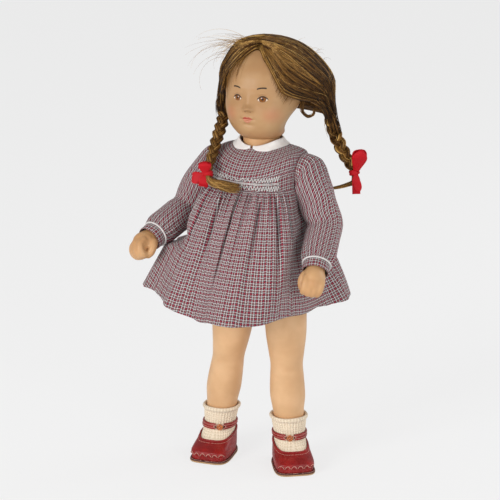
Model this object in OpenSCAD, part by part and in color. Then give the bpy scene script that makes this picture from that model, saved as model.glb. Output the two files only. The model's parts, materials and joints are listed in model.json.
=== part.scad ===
// Strung vinyl play doll with two braids, a smocked plaid dress, socks and strap shoes.
// Millimetres, +Z up, the doll faces -Y and its left side is +X.

/* [Body] */
// Height of the hip axis above the floor
hip_z = 189; // [170:1:210]
// Distance of each hip centre from the middle plane
hip_x = 25.5; // [20:0.5:32]
// Depth of the hip axis behind the body centre line
hip_y = 3; // [-5:0.5:10]
// Height of the shoulder axis above the floor
shoulder_z = 283; // [260:1:300]
// Distance of each shoulder centre from the middle plane
shoulder_x = 50; // [44:0.5:58]
// Depth of the shoulder and neck axes behind the body centre line
neck_y = 5; // [0:0.5:10]
// Radius of the neck
neck_r = 16.5; // [14:0.5:19]
// Wall of the hollow vinyl torso and head
vinyl_t = 3; // [2:0.5:5]
// Radius of the rounded top of each leg
thigh_r = 20; // [16:0.5:24]
// Radius of the rounded top of each arm
arm_top_r = 13.5; // [11:0.5:16]

/* [Pose] */
// Forward swing of the left arm as photographed
left_arm_angle = 30; // [0:1:120]
// Forward swing of the right arm as photographed
right_arm_angle = 48; // [0:1:120]
// How far the lower right arm is held out sideways
right_arm_out = 8; // [0:0.5:12]
// How far the left foot points outwards
left_toe_out = 38; // [0:1:50]
// How far the right foot points outwards
right_toe_out = -8; // [-20:1:50]
// Sideways place of the left ankle
left_ankle_x = 28.5; // [20:0.5:50]
// Sideways place of the right ankle, measured to the right
right_ankle_x = 44.5; // [20:0.5:50]

/* [Head] */
// Height of the top of the skull under the hair
skull_top = 399; // [380:1:410]
// Greatest half width of the skull
skull_half_w = 36.8; // [32:0.2:44]
// Radius of the round mass of combed hair
hair_r = 58; // [50:0.5:64]
// Height of the middle of the hair mass
hair_mid_z = 350.5; // [340:0.5:360]
// Thickness of each braid at its middle
braid_d = 12.5; // [9:0.5:16]

/* [Dress] */
// Height of the seam between yoke and skirt
waist_z = 272; // [260:1:285]
// Height of the hem above the floor
hem_z = 160; // [140:1:185]
// Rise of the hem at the sides and back
hem_lift = 5; // [0:0.5:12]
// Half width of the skirt at the hem
hem_half_w = 98.5; // [70:1:110]
// Half depth of the skirt at the hem
hem_half_d = 84; // [60:1:100]
// Number of gathered folds round the skirt
fold_count = 18; // [10:1:24]
// Depth of the skirt folds
fold_depth = 2.6; // [0:0.1:5]
// Thickness of the dress cloth with its seam allowances
cloth_t = 1.2; // [0.6:0.1:2]
// Width of the smocking band
band_w = 9; // [6:0.5:14]
// Radius of each cuff
cuff_r = 12; // [11:0.1:14]

/* [Shoes] */
// Thickness of the shoe sole
sole_t = 2.8; // [1.5:0.1:4]
// Height of the top of the sock
sock_top = 49; // [40:1:60]
// Height of the middle of the ankle strap
strap_z = 30.4; // [29:0.1:36]
// Width of the ankle strap
strap_w = 5.6; // [4:0.1:8]
// Radius of the strap button
button_r = 3.1; // [2:0.1:4]

/* [Stringing] */
// Radius of the stringing elastic
elastic_r = 2; // [1:0.1:3]
// Radius of the toggles that hold the elastic
toggle_r = 6; // [4:0.5:8]

/* [Hidden] */
$fn = 48;
// Place of the body centre line in the middle of the overall box
centre_x = 7.4;
centre_y = 9.7;
limb_n = 24;
head_n = 32;
skirt_n = 78;
shoulder = [shoulder_x, neck_y, shoulder_z];
hip = [hip_x, hip_y, hip_z];
// Profile tables: height or path step first, measure second
leg_r = [[34, 13.4], [53, 14.6], [69, 16.5], [77, 16.4], [88, 15.8], [100, 15.2], [111, 16.5],
         [130, 18.9], [150, 19.6], [168, thigh_r], [189, thigh_r]];
foot_w = [[5.5, 12], [8, 13.4], [12, 13.4], [18, 13.1], [26, 13], [34, 13.4]];
foot_f = [[5.5, 32], [8, 35], [11, 34.5], [14, 30], [16, 25.5], [18, 21.5], [20, 18.8], [24, 15.8],
          [28, 14.4], [34, 13.4]];
foot_b = [[5.5, 15.5], [8, 17.2], [12, 17.6], [18, 16.8], [26, 14.6], [34, 13.4]];
toe_n = [[5.5, 4.6], [11, 4.4], [14, 3.8], [20, 2.8], [30, 2]];
left_leg_y = [[28, 8.5], [80, 4.5], [130, 1], [hip_z, hip_y]];
right_leg_y = [[28, 4], [80, 2], [130, 0.5], [hip_z, hip_y]];
left_leg_x = [[28, left_ankle_x], [80, 27.7], [130, 28], [hip_z, hip_x]];
right_leg_x = [[28, right_ankle_x], [70, 38.5], [125, 29], [hip_z, hip_x]];
left_leg_path = [left_leg_x, left_leg_y, left_toe_out];
right_leg_path = [right_leg_x, right_leg_y, right_toe_out];
// Head outlines by height: half width, front, back, place of the greatest width
head_a = [[314, 17.6], [317, 20.6], [322, 23], [328, 26], [334, 29], [342, 33], [352, 35.6],
          [362, skull_half_w], [372, 36.5], [382, 33.8], [390, 27.8], [396, 18], [skull_top, 4]];
head_f = [[314, -12.6], [317, -17], [322, -20.5], [328, -23], [334, -24.6], [342, -25.4], [352, -24.6],
          [362, -24.6], [372, -22.6], [382, -16.5], [390, -8], [396, 3], [skull_top, 14]];
head_b = [[314, 22.6], [317, 25.5], [322, 25.2], [328, 25.5], [334, 29], [342, 39], [352, 52], [362, 59.5],
          [372, 60], [382, 54.5], [390, 46], [396, 34], [skull_top, 22]];
head_c = [[314, neck_y], [317, 4], [322, -2.5], [328, -5], [334, -2], [342, 5], [352, 13.5], [362, 17],
          [skull_top, 17]];
// Hairline heights from the side of the head to the middle of the forehead and to the nape
hairline_front = [[0, 347], [0.3, 350], [0.5, 353.5], [0.68, 359.5], [0.8, 371.5], [0.885, 381], [0.95, 387.5],
                  [1, 395]];
hairline_back = [[0, 347], [0.4, 341], [0.8, 337], [1, 336]];
// Yoke outlines from the neck edge down to the skirt seam
yoke_a = [[0, 18.8], [1, 27], [2, 35], [3, 40.4], [4, 42.7], [5, 43.2], [6, 43.2]];
yoke_f = [[0, -13.8], [1, -21], [2, -28], [3, -33.5], [4, -37.5], [5, -40], [6, -41]];
yoke_b = [[0, 23.8], [1, 31], [2, 34], [3, 35.5], [4, 36], [5, 36], [6, 36]];
yoke_zs = [[0, 309], [1, 306.8], [2, 305], [3, 302.3], [4, 296], [5, 284], [6, waist_z]];
yoke_zf = [[0, 306], [1, 301.5], [2, 296], [3, 290], [4, 285], [5, 279], [6, waist_z]];
yoke_zb = [[0, 308.5], [1, 303], [2, 298], [3, 291], [4, 285], [5, 278.5], [6, waist_z]];
yoke_n = [[0, 2], [1, 2.1], [3, 3], [6, 3]];
// Where the raised right arm meets the skirt on the way down: angle and reach from the skirt's middle
right_aim = [[0, 181], [0.3, 183], [0.37, 188], [0.4, 193], [0.46, 200], [0.56, 204]];
right_reach = [[0, 41.2], [0.12, 39.8], [0.28, 44.9], [0.37, 49.5], [0.46, 56.2], [0.56, 67.2], [0.66, 110]];

function mix(a, b, t) = a + (b - a) * t;
function ease(t) = let(u = min(1, max(0, t))) u * u * (3 - 2 * u);
function unit(v) = v / norm(v);
function power(c, n) = sign(c) * pow(abs(c), 2 / n);
// Angle between a and b folded into -180 to 180
function turn(a, b) = let(d = (a - b) % 360) d > 180 ? d - 360 : d < -180 ? d + 360 : d;
// Point of an egg outline at angle t: half width a, front f, back b, widest line at depth c,
// squareness n in front and k behind
function egg(t, a, f, b, c, n, k) = let(q = sin(t) < 0 ? n : k)
    [a * power(cos(t), q), c + (sin(t) < 0 ? c - f : b - c) * power(sin(t), q)];

// Skin through rings of equal count, capped at both ends or closed into a tube
module skin(rings, closed = false) {
    m = len(rings);
    n = len(rings[0]);
    body = [for (r = rings) each r];
    middle = function (r) [for (k = [0:2]) [for (p = r) p[k]] * [for (p = r) 1] / n];
    sides = [for (i = [0:m - (closed ? 1 : 2)], j = [0:n - 1])
        let(a = i * n + j, b = i * n + (j + 1) % n, c = ((i + 1) % m) * n + (j + 1) % n,
            d = ((i + 1) % m) * n + j) each [[a, c, b], [a, d, c]]];
    ends = closed ? [] : [for (j = [0:n - 1])
        let(k = (j + 1) % n, e = (m - 1) * n) each [[m * n, j, k], [m * n + 1, e + k, e + j]]];
    points = closed ? body : concat(body, [middle(rings[0]), middle(rings[m - 1])]);
    polyhedron(points = points, faces = concat(sides, ends), convexity = 6);
}

// Ring of radius r round point p across direction d, with gathers of depth g and count q
function hoop(p, d, r, n, g = 0, q = 0) =
    let(e1 = unit(cross([0, 1, 0], d)), e2 = cross(d, e1))
    [for (i = [0:n - 1]) let(t = i * 360 / n, k = r + g * cos(q * t))
        p + k * (cos(t) * e1 + sin(t) * e2)];

// Direction of a path at step i
function along(path, i) =
    let(m = len(path) - 1) unit(path[min(m, i + 1)] - path[max(0, i - 1)]);

// Turns its children so that their +Z points along d, at point p
module aim(p, d) {
    translate(p)
        rotate([0, acos(d[2] / norm(d)), atan2(d[1], d[0])])
            children();
}

module mirrored() {
    mirror([1, 0, 0])
        children();
}

module placed() {
    translate([centre_x, centre_y, 0])
        children();
}

// Torso and stringing

torso_rows = [[169.6, 13.4, -3, 9], [173, 13.8, -9, 15], [180, 13.9, -14, 20], [189, 13.9, -16.2, 22.2],
    [200, 13.9, -16.2, 22.2], [211.6, 13.9, -16.2, 22.2], [212.4, 37, -28, 29], [218, 41, -35.5, 32],
    [229, 41, -38.5, 31.5], [242, 40, -37.5, 29.5], [256, 39, -33, 28], [268, 39.5, -30.5, 27.5],
    [280, 40.8, -27, 26.5], [288, 39.6, -22, 25.5], [294, 33, -17.5, 24.5], [298, 25, -15, 23.5],
    [301, 19, -13.5, 22.5], [304, neck_r, neck_y - neck_r, neck_y + neck_r],
    [317, neck_r, neck_y - neck_r, neck_y + neck_r], [319.5, 14, -9, 19], [321, 9, -4, 14]];

function torso_ring(row, d) = [for (i = [0:limb_n - 1])
    let(p = egg(i * 360 / limb_n, row[1] - d, row[2] + d, row[3] - d, 4, row[0] < 212 ? 3 : 2.2,
        row[0] < 212 ? 3 : 2.2))
    [p[0], p[1], row[0]]];

module torso_shell() {
    color([0.80, 0.60, 0.42])
        difference() {
            skin([for (row = torso_rows) torso_ring(row, 0)]);
            skin([for (i = [7:14]) torso_ring(torso_rows[i], vinyl_t)]);
            aim([-60, neck_y, shoulder_z], [1, 0, 0])
                cylinder(h = 120, r = elastic_r + 0.6);
            aim([-60, hip_y, hip_z], [1, 0, 0])
                cylinder(h = 120, r = elastic_r + 0.6);
            translate([0, neck_y, shoulder_z])
                cylinder(h = 60, r = elastic_r + 0.6);
        }
}

// Elastic along X with a knot past each toggle
module elastic_run(at, half) {
    color([0.85, 0.82, 0.75]) {
        aim([-half, at[1], at[2]], [1, 0, 0])
            cylinder(h = 2 * half, r = elastic_r);
        for (s = [-1, 1])
            translate([s * half, at[1], at[2]])
                sphere(r = elastic_r + 0.9);
    }
}

module arm_elastic() {
    elastic_run(shoulder, shoulder_x + 2.6);
}

module leg_elastic() {
    elastic_run(hip, hip_x + 2.6);
}

module toggle(at) {
    color([0.62, 0.45, 0.28])
        aim([at[0] - 3.4, at[1], at[2]], [1, 0, 0])
            difference() {
                cylinder(h = 3, r = toggle_r);
                translate([0, 0, -1])
                    cylinder(h = 5, r = elastic_r + 0.05);
            }
}

module left_arm_toggle() {
    toggle(shoulder);
}

module right_arm_toggle() {
    mirrored()
        toggle(shoulder);
}

module left_leg_toggle() {
    toggle(hip);
}

module right_leg_toggle() {
    mirrored()
        toggle(hip);
}

module neck_elastic() {
    color([0.85, 0.82, 0.75]) {
        translate([0, neck_y, shoulder_z + elastic_r + 0.1])
            cylinder(h = 326.6 - shoulder_z - elastic_r, r = elastic_r);
        translate([0, neck_y, 327])
            sphere(r = elastic_r + 0.9);
    }
}

module neck_toggle() {
    color([0.62, 0.45, 0.28])
        translate([0, neck_y, 321.3])
            difference() {
                cylinder(h = 3, r = toggle_r);
                translate([0, 0, -1])
                    cylinder(h = 5, r = elastic_r + 0.05);
            }
}

// Dress

// Point of the yoke at angle t and step s, moved inwards by d
function yoke_point(t, s, d) =
    let(p = egg(t, lookup(s, yoke_a) - d, lookup(s, yoke_f) + d, lookup(s, yoke_b) - d, 4,
            lookup(s, yoke_n), lookup(s, yoke_n)),
        w = cos(t) * cos(t), zf = sin(t) < 0 ? lookup(s, yoke_zf) : lookup(s, yoke_zb))
    [p[0], p[1], mix(zf, lookup(s, yoke_zs), w) - (s < 5.9 && s > 0.1 ? d : 0)];

module yoke() {
    n = 40;
    steps = [6, 5, 4, 3, 2, 1, 0];
    color([0.62, 0.45, 0.47])
        difference() {
            skin(concat([for (s = steps) [for (i = [0:n - 1]) yoke_point(i * 360 / n, s, 0)]],
                [for (k = [0:6]) [for (i = [0:n - 1]) yoke_point(i * 360 / n, k, cloth_t)]]), true);
            aim([-60, neck_y, shoulder_z], [1, 0, 0])
                cylinder(h = 120, r = 16.5);
        }
}

// Push of the hanging left arm into the skirt side, 0 to 1
function left_push(t, v) = exp(-pow(turn(t, 6 - 46 * max(0, v - 0.3)) / 30, 4));
// Push of the raised right arm into the upper skirt side, 0 to 1
function right_push(t, v) = exp(-pow(turn(t, lookup(v, right_aim)) / 32, 4));

// Point of the skirt at angle t and fraction v of the way down, moved inwards by d
function skirt_point(t, v, d) =
    let(top = yoke_point(t, 6, 0),
        hem = [-6 + hem_half_w * cos(t), -12 + hem_half_d * sin(t)],
        open = pow(v, 0.86),
        base = [mix(top[0], hem[0], open), mix(top[1], hem[1], open)],
        mid = [-2, -5],
        out = base - mid,
        fold = fold_depth * ease(v * 5) * (1 - 0.35 * v) * cos(fold_count * t),
        reach = mix(45.3, 49.2, ease((v - 0.14) / 0.2)),
        left = mix(reach, 66, ease((v - 0.33) / 0.67)),
        right = lookup(v, right_reach),
        free = norm(out) + fold,
        held = mix(free, min(free, left), left_push(t, v)),
        both = mix(held, min(held, right), right_push(t, v)),
        bow = exp(-pow(turn(t, 226) / 30, 2)),
        lift = hem_lift * (ease(pow(turn(t, 298), 2) / 6400) + 2.4 * bow))
    concat(mid + unit(out) * (both - d), [mix(waist_z - 0.3, hem_z + lift, v)]);

module skirt() {
    steps = [0, 0.12, 0.28, 0.37, 0.46, 0.56, 0.7, 1];
    rows = len(steps) - 1;
    ring = function (v, d) [for (i = [0:skirt_n - 1]) skirt_point(i * 360 / skirt_n, v, d)];
    color([0.62, 0.45, 0.47])
        skin(concat([for (k = [rows:-1:0]) ring(steps[k], 0)], [for (v = steps) ring(v, cloth_t)]), true);
}

module smocking_band() {
    n = 22;
    low = 5.85;
    high = low - 6 * band_w / 54;
    color([0.95, 0.94, 0.92])
        skin([for (i = [0:n]) let(t = mix(228, 318, i / n))
            [yoke_point(t, low, -0.4), yoke_point(t, low, -1.2), yoke_point(t, high, -1.2),
                yoke_point(t, high, -0.4)]]);
}

module left_collar() {
    n = 22;
    lift = [0, 0, 0.7];
    color([0.95, 0.95, 0.95])
        skin([for (i = [0:n]) let(t = mix(274, 446, i / n), e = sqrt(max(0.05, sin(180 * i / n))),
                s = 0.12 + 0.66 * min(1, 1.25 * e))
            [yoke_point(t, 0.1, 0) + lift, yoke_point(t, 0.1, 0) + 2.6 * lift,
                yoke_point(t, s, 0) + 2.4 * lift, yoke_point(t, s, 0) + lift]]);
}

module right_collar() {
    mirrored()
        left_collar();
}

// Head and hair

// Point of the head at angle t and height z, moved outwards by d
function head_point(t, z, d) =
    concat(egg(t, lookup(z, head_a) + d, lookup(z, head_f) - d, lookup(z, head_b) + d,
        lookup(z, head_c), 2.1, 2.1), [z]);

module head_shell() {
    levels = [314, 317, 322, 328, 334, 342, 352, 362, 372, 382, 390, 396, skull_top];
    inside = [394, 388, 380, 370, 360, 350, 340, 332, 326, 321, 317];
    ring = function (z, d) [for (i = [0:head_n - 1]) head_point(i * 360 / head_n, z, d)];
    color([0.80, 0.60, 0.42])
        skin(concat([for (z = inside) ring(z, -vinyl_t)], [[for (p = ring(314, -0.2)) p]],
            [for (z = levels) ring(z, 0)]));
}

// Height of the hairline at angle t: high at the front, over the ears, low at the nape
function hairline(t) = let(s = sin(t)) s < 0 ? lookup(-s, hairline_front) : lookup(s, hairline_back);

// Point of the hair at angle t and fraction v from crown to hairline, inner or outer face
function hair_point(t, v, outer) =
    let(z = mix(skull_top, hairline(t), v),
        inner = head_point(t, z - 1.2, 1.8 + 1.8 * max(0, sin(t))) + [0, 0, 1.2 + 1.4 * (1 - v)],
        h = z + 5.4 * (1 - v) - hair_mid_z,
        r = sqrt(max(0, hair_r * hair_r - h * h)) * (1 - 0.12 * exp(-pow((h - 38) / 16, 2))),
        back = 25 - 18 * pow(max(0, h) / hair_r, 2),
        tuck = 1 - 0.34 * ease((v - 0.5) / 0.5) * pow(max(0, sin(t)), 2),
        ball = [2 + r * cos(t), back + tuck * r * sin(t), z + 5.6 * (1 - v)],
        edge = head_point(t, z, 3.4),
        thin = ease((-sin(t) - 0.1) / 0.6) * ease((v - 0.35) / 0.65))
    outer ? mix(ball, edge, thin) : inner;

module hair_cap() {
    down = [0.02, 0.14, 0.3, 0.48, 0.66, 0.84, 1];
    rows = len(down) - 1;
    ring = function (v, o) [for (i = [0:head_n - 1]) hair_point(i * 360 / head_n, v, o)];
    color([0.38, 0.26, 0.14])
        skin(concat([for (v = down) ring(v, false)], [for (k = [rows:-1:0]) ring(down[k], true)]));
}

left_braid_path = [[53, 36, 334], [55, 37.5, 326], [58, 39, 315], [63, 40, 304], [69, 40.5, 294],
    [75, 41, 285], [77, 41, 280.5], [77.6, 41, 276], [76.5, 41, 271.5], [70, 39.5, 268], [61, 37.5, 265],
    [50, 35, 263]];
right_braid_path = [[-45.4, 13.8, 345.6], [-43.5, 10, 339.6], [-40.6, 7, 331], [-37, -6, 320], [-34.6, -18, 310],
    [-31.5, -32, 299], [-29.5, -42.5, 289.5], [-28.5, -45.5, 285], [-27, -47, 281], [-23, -47.5, 278.5],
    [-14, -48, 277], [-4, -48.5, 276], [6, -48, 275.5]];
left_braid_r = [4.5, 5.6, braid_d / 2, braid_d / 2, 5.9, 4.6, 3.1, 3.1, 3.4, 3.2, 2.4, 0.8];
right_braid_r = [4, 5, braid_d / 2, braid_d / 2, 6.2, 5.6, 4.2, 3.1, 3.1, 3.6, 4.2, 4, 1.2];

module plait(path, radius) {
    color([0.40, 0.28, 0.15])
        skin([for (i = [0:len(path) - 1]) hoop(path[i], along(path, i), radius[i], 12)]);
}

module left_braid() {
    plait(left_braid_path, left_braid_r);
}

module right_braid() {
    plait(right_braid_path, right_braid_r);
}

// Flat ribbon end from point a to point b across direction w
module petal(a, b, w, width, thick) {
    d = unit(b - a);
    side = unit(w - (w * d) * d);
    up = cross(d, side);
    shape = [[0, 0.42], [0.25, 0.8], [0.55, 1], [0.85, 0.85], [1, 0.45]];
    skin([for (s = shape) let(p = mix(a, b, s[0]), h = width * s[1] / 2, k = thick / 2)
        [for (t = [0:30:330]) p + h * cos(t) * side + k * (0.5 + 0.5 * s[1]) * sin(t) * up]]);
}

// Ribbon knot round the hair at point p along d
module knot(p, d) {
    aim(p, d)
        rotate_extrude()
            translate([4.9, 0])
                circle(r = 1.6, $fn = 24);
}

module left_ribbon() {
    color([0.72, 0.05, 0.08]) {
        knot(left_braid_path[6], along(left_braid_path, 6));
        petal([81.6, 38.5, 282], [88, 32, 303], [0.883, 0.469, 0], 12, 3.4);
        petal([81.2, 37.6, 280], [82, 33, 262], [0.883, 0.469, 0], 8.5, 2.2);
    }
}

module right_ribbon() {
    color([0.72, 0.05, 0.08]) {
        knot(right_braid_path[7], along(right_braid_path, 7));
        petal([-30.5, -50, 285.5], [-33, -49.5, 302], [0.883, 0.469, 0], 10.5, 3.4);
        petal([-33, -48, 284.6], [-42.5, -45.5, 281], [0, 0.2, 1], 10.5, 3.4);
    }
}

// Arms and sleeves, drawn hanging from the shoulder centre

arm_path = [[0, 0, 0], [5.5, 7, -16], [12, 15, -31], [16, 20, -41], [18.5, 16.2, -53], [21.5, 11, -68],
    [24.2, 6.4, -82], [25.3, 4.6, -88], [26.4, 2.8, -94], [28, 0.2, -101], [29.2, -1.8, -107.5],
    [29.9, -3, -111.5]];
arm_radius = [arm_top_r, 12.8, 12.2, 11.8, 11.4, 10.4, 8.8, 9.2, 11.2, 13.2, 11.8, 7];
sleeve_path = [[-6, 0, 0], [-0.5, 0.5, -2], [2, 2, -9], [8, 7, -19], [12.6, 13, -30], [16.8, 18.4, -41],
    [19.2, 15, -53], [21.2, 11.4, -65], [22.8, 8.6, -74], [23.8, 7, -79.5]];
sleeve_up = [[0, 0, 1], [0.35, 0, 0.94], [0.7, 0, 0.71], [0.93, 0, 0.37], [0.98, 0, 0.2], [1, 0, 0.1],
    [1, 0, 0.15], [1, 0, 0.18], [1, 0, 0.2], [0.98, 0, 0.2]];
sleeve_radius = [19, 19.5, 19, 18, 17, 16.4, 16.2, 16, 15, 12.2];
cuff_dir = unit([12, -20, -60]);
cuff_at = [24, 6.7, -81];

// Point of an arm with its lower part moved out sideways by w
function held_out(p, w) = [p[0] + w * ease((-p[2] - 18) / 75), p[1], p[2]];

module arm_solid(w = 0) {
    crown = unit(arm_path[0] - arm_path[1]);
    top = [for (b = [78, 52, 26]) hoop(arm_top_r * sin(b) * crown, -crown, arm_top_r * cos(b), limb_n)];
    rest = [for (i = [0:len(arm_path) - 1]) hoop(arm_path[i], along(arm_path, i), arm_radius[i], limb_n)];
    difference() {
        skin([for (r = concat(top, rest)) [for (p = r) held_out([max(-6.6, p[0]), p[1], p[2]], w)]]);
        aim([-20, 0, 0], [1, 0, 0])
            cylinder(h = 20, r = elastic_r + 0.6);
        aim([-3.8, 0, 0], [1, 0, 0])
            cylinder(h = 10, r = toggle_r + 1);
    }
}

function sleeve_ring(i, d) =
    let(u = sleeve_up[i], w = along(sleeve_path, i), s = i < 3 ? [0, 1, 0] : unit(cross(u, w)),
        v = i < 3 ? u : unit(u - (u * w) * w), g = i == 0 ? 0 : 0.8)
    [for (j = [0:27]) let(t = j * 360 / 28, r = sleeve_radius[i] + g * cos(7 * t) - d,
        p = sleeve_path[i] + r * (cos(t) * v - sin(t) * s)) [max(-6, p[0]), p[1], p[2]]];

module sleeve_solid(w = 0) {
    last = len(sleeve_path) - 1;
    skin(concat([for (i = [0:last]) [for (p = sleeve_ring(i, 0)) held_out(p, w)]],
        [for (i = [last:-1:0]) [for (p = sleeve_ring(i, cloth_t)) held_out(p, w)]]), true);
}

module cuff_solid(w = 0) {
    aim(held_out(cuff_at, w), cuff_dir)
        rotate_extrude()
            translate([cuff_r - cloth_t, 0])
                square([cloth_t, 8.4]);
}

module piping_solid(w = 0) {
    aim(held_out(cuff_at, w) - 0.1 * cuff_dir, cuff_dir)
        rotate_extrude()
            translate([cuff_r + 0.95, 0])
                circle(r = 0.85, $fn = 20);
}

module on_left_arm() {
    translate(shoulder)
        rotate([-left_arm_angle, 0, 0])
            children();
}

module on_right_arm() {
    mirrored()
        translate(shoulder)
            rotate([-right_arm_angle, 0, 0])
                children();
}

module left_arm() {
    color([0.80, 0.60, 0.42])
        on_left_arm()
            arm_solid();
}

module left_sleeve() {
    color([0.62, 0.45, 0.47])
        on_left_arm()
            sleeve_solid();
}

module left_cuff() {
    color([0.62, 0.45, 0.47])
        on_left_arm()
            cuff_solid();
}

module left_piping() {
    color([0.93, 0.90, 0.88])
        on_left_arm()
            piping_solid();
}

module right_arm() {
    color([0.80, 0.60, 0.42])
        on_right_arm()
            arm_solid(right_arm_out);
}

module right_sleeve() {
    color([0.62, 0.45, 0.47])
        on_right_arm()
            sleeve_solid(right_arm_out);
}

module right_cuff() {
    color([0.62, 0.45, 0.47])
        on_right_arm()
            cuff_solid(right_arm_out);
}

module right_piping() {
    color([0.93, 0.90, 0.88])
        on_right_arm()
            piping_solid(right_arm_out);
}

// Legs, socks and shoes, drawn on the left and mirrored for the right

// Point of the leg at angle t and height z, moved outwards by d, on path q of x, y and toe-out;
// the foot is broad at the toe and narrow at the heel
function leg_point(t, z, d, q) =
    let(low = z < 34, top = sqrt(max(0, thigh_r * thigh_r - pow(max(0, z - hip_z), 2))),
        r = z > hip_z ? top : lookup(z, leg_r),
        e = egg(t, lookup(z, foot_w) + d, -lookup(z, foot_f) - d, lookup(z, foot_b) + d, 0,
                lookup(z, toe_n), 2.2),
        fore = power(sin(t), sin(t) < 0 ? lookup(z, toe_n) : 2.2),
        taper = ease((30 - z) / 22) * 0.2,
        p = low ? [e[0] * (1 - taper * fore), e[1]] : (r + d) * [cos(t), sin(t)],
        h = q[2],
        ax = lookup(z, q[0]) + p[0] * cos(h) - p[1] * sin(h),
        ay = lookup(z, q[1]) + p[0] * sin(h) + p[1] * cos(h))
    [z > 165 ? max(14.4, ax) : ax, ay, z];

function leg_ring(z, d, q) = [for (i = [0:limb_n - 1]) leg_point(i * 360 / limb_n, z, d, q)];

module leg_solid(q) {
    levels = [5.5, 8, 11, 14, 16, 18, 20, 24, 28, 34, 53, 69, 77, 88, 100, 111, 130, 150, 166, 178,
        hip_z, 198, 204, 207.6];
    color([0.83, 0.66, 0.48])
        difference() {
            skin([for (z = levels) leg_ring(z, 0, q)]);
            aim([0, hip_y, hip_z], [1, 0, 0])
                cylinder(h = hip_x, r = elastic_r + 0.6);
            aim([hip_x - 3.8, hip_y, hip_z], [1, 0, 0])
                cylinder(h = 10, r = toggle_r + 1);
        }
}

module sock_solid(q) {
    face = [8, 11, 14, 16, 18, 20, 24, 28, 34, 41];
    raise = function (ring, z) [for (p = ring) [p[0], p[1], z]];
    color([0.90, 0.87, 0.78])
        skin(concat([raise(leg_ring(5.5, -0.6, q), 4.0)], [for (z = face) leg_ring(z, z < 15 ? 1 : 1.5, q)],
            [leg_ring(sock_top - 3, 1.6, q), leg_ring(sock_top - 1.2, 2.6, q)],
            [leg_ring(sock_top, 2.2, q), leg_ring(sock_top, 0.6, q)],
            [for (i = [len(face) - 1:-1:0]) leg_ring(face[i], 0.25, q)],
            [raise(leg_ring(5.5, 0.2, q), 5.2)]));
}

// Height of the shoe opening at angle t: low over the instep, high at the heel
function shoe_top(t) = 18.2 + 9.1 * pow((1 + sin(t)) / 2, 1.2);

module upper_solid(q) {
    steps = [0, 0.18, 0.36, 0.54, 0.7, 0.85, 1];
    last = len(steps) - 1;
    ring = function (v, d) [for (i = [0:limb_n - 1]) let(t = i * 360 / limb_n)
        leg_point(t, max(5.5, mix(sole_t + 0.2, shoe_top(t), v)), d, q)];
    drop = function (r) [for (p = r) [p[0], p[1], sole_t + 0.2]];
    color([0.52, 0.10, 0.10])
        skin(concat([drop(ring(0, 3.0))], [for (k = [1:last]) ring(steps[k], 3.4)],
            [for (k = [last:-1:1]) ring(steps[k], 1.8)], [drop(ring(0, 1.8))]), true);
}

module sole_solid(q) {
    color([0.55, 0.36, 0.22])
        linear_extrude(height = sole_t)
            polygon([for (p = leg_ring(9, 4.1, q)) [p[0], p[1]]]);
}

module strap_solid(q) {
    ring = function (z, d) leg_ring(z, d, q);
    low = strap_z - strap_w / 2;
    high = strap_z + strap_w / 2;
    color([0.52, 0.10, 0.10])
        skin([ring(low, 3.1), ring(high, 3.1), ring(high, 1.9), ring(low, 1.9)], true);
}

module button_solid(q, a) {
    d = [sin(a), -cos(a), 0];
    color([0.45, 0.22, 0.10])
        aim([lookup(strap_z, q[0]), lookup(strap_z, q[1]), strap_z] + 17.8 * d, d)
            cylinder(h = 1.8, r = button_r);
}

module left_leg() {
    leg_solid(left_leg_path);
}

module left_sock() {
    sock_solid(left_leg_path);
}

module left_shoe_upper() {
    upper_solid(left_leg_path);
}

module left_shoe_sole() {
    sole_solid(left_leg_path);
}

module left_shoe_strap() {
    strap_solid(left_leg_path);
}

module left_strap_button() {
    button_solid(left_leg_path, 28);
}

module right_leg() {
    mirrored()
        leg_solid(right_leg_path);
}

module right_sock() {
    mirrored()
        sock_solid(right_leg_path);
}

module right_shoe_upper() {
    mirrored()
        upper_solid(right_leg_path);
}

module right_shoe_sole() {
    mirrored()
        sole_solid(right_leg_path);
}

module right_shoe_strap() {
    mirrored()
        strap_solid(right_leg_path);
}

module right_strap_button() {
    mirrored()
        button_solid(right_leg_path, -28);
}

placed() torso_shell();
placed() arm_elastic();
placed() left_arm_toggle();
placed() right_arm_toggle();
placed() neck_elastic();
placed() neck_toggle();
placed() yoke();
placed() skirt();
placed() smocking_band();
placed() left_collar();
placed() right_collar();
placed() head_shell();
placed() hair_cap();
placed() left_braid();
placed() right_braid();
placed() left_ribbon();
placed() right_ribbon();
placed() left_arm();
placed() left_sleeve();
placed() left_cuff();
placed() left_piping();
placed() right_arm();
placed() right_sleeve();
placed() right_cuff();
placed() right_piping();
placed() leg_elastic();
placed() left_leg_toggle();
placed() right_leg_toggle();
placed() left_leg();
placed() left_sock();
placed() left_shoe_upper();
placed() left_shoe_sole();
placed() left_shoe_strap();
placed() left_strap_button();
placed() right_leg();
placed() right_sock();
placed() right_shoe_upper();
placed() right_shoe_sole();
placed() right_shoe_strap();
placed() right_strap_button();
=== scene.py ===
import json
from functools import partialmethod

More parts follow.
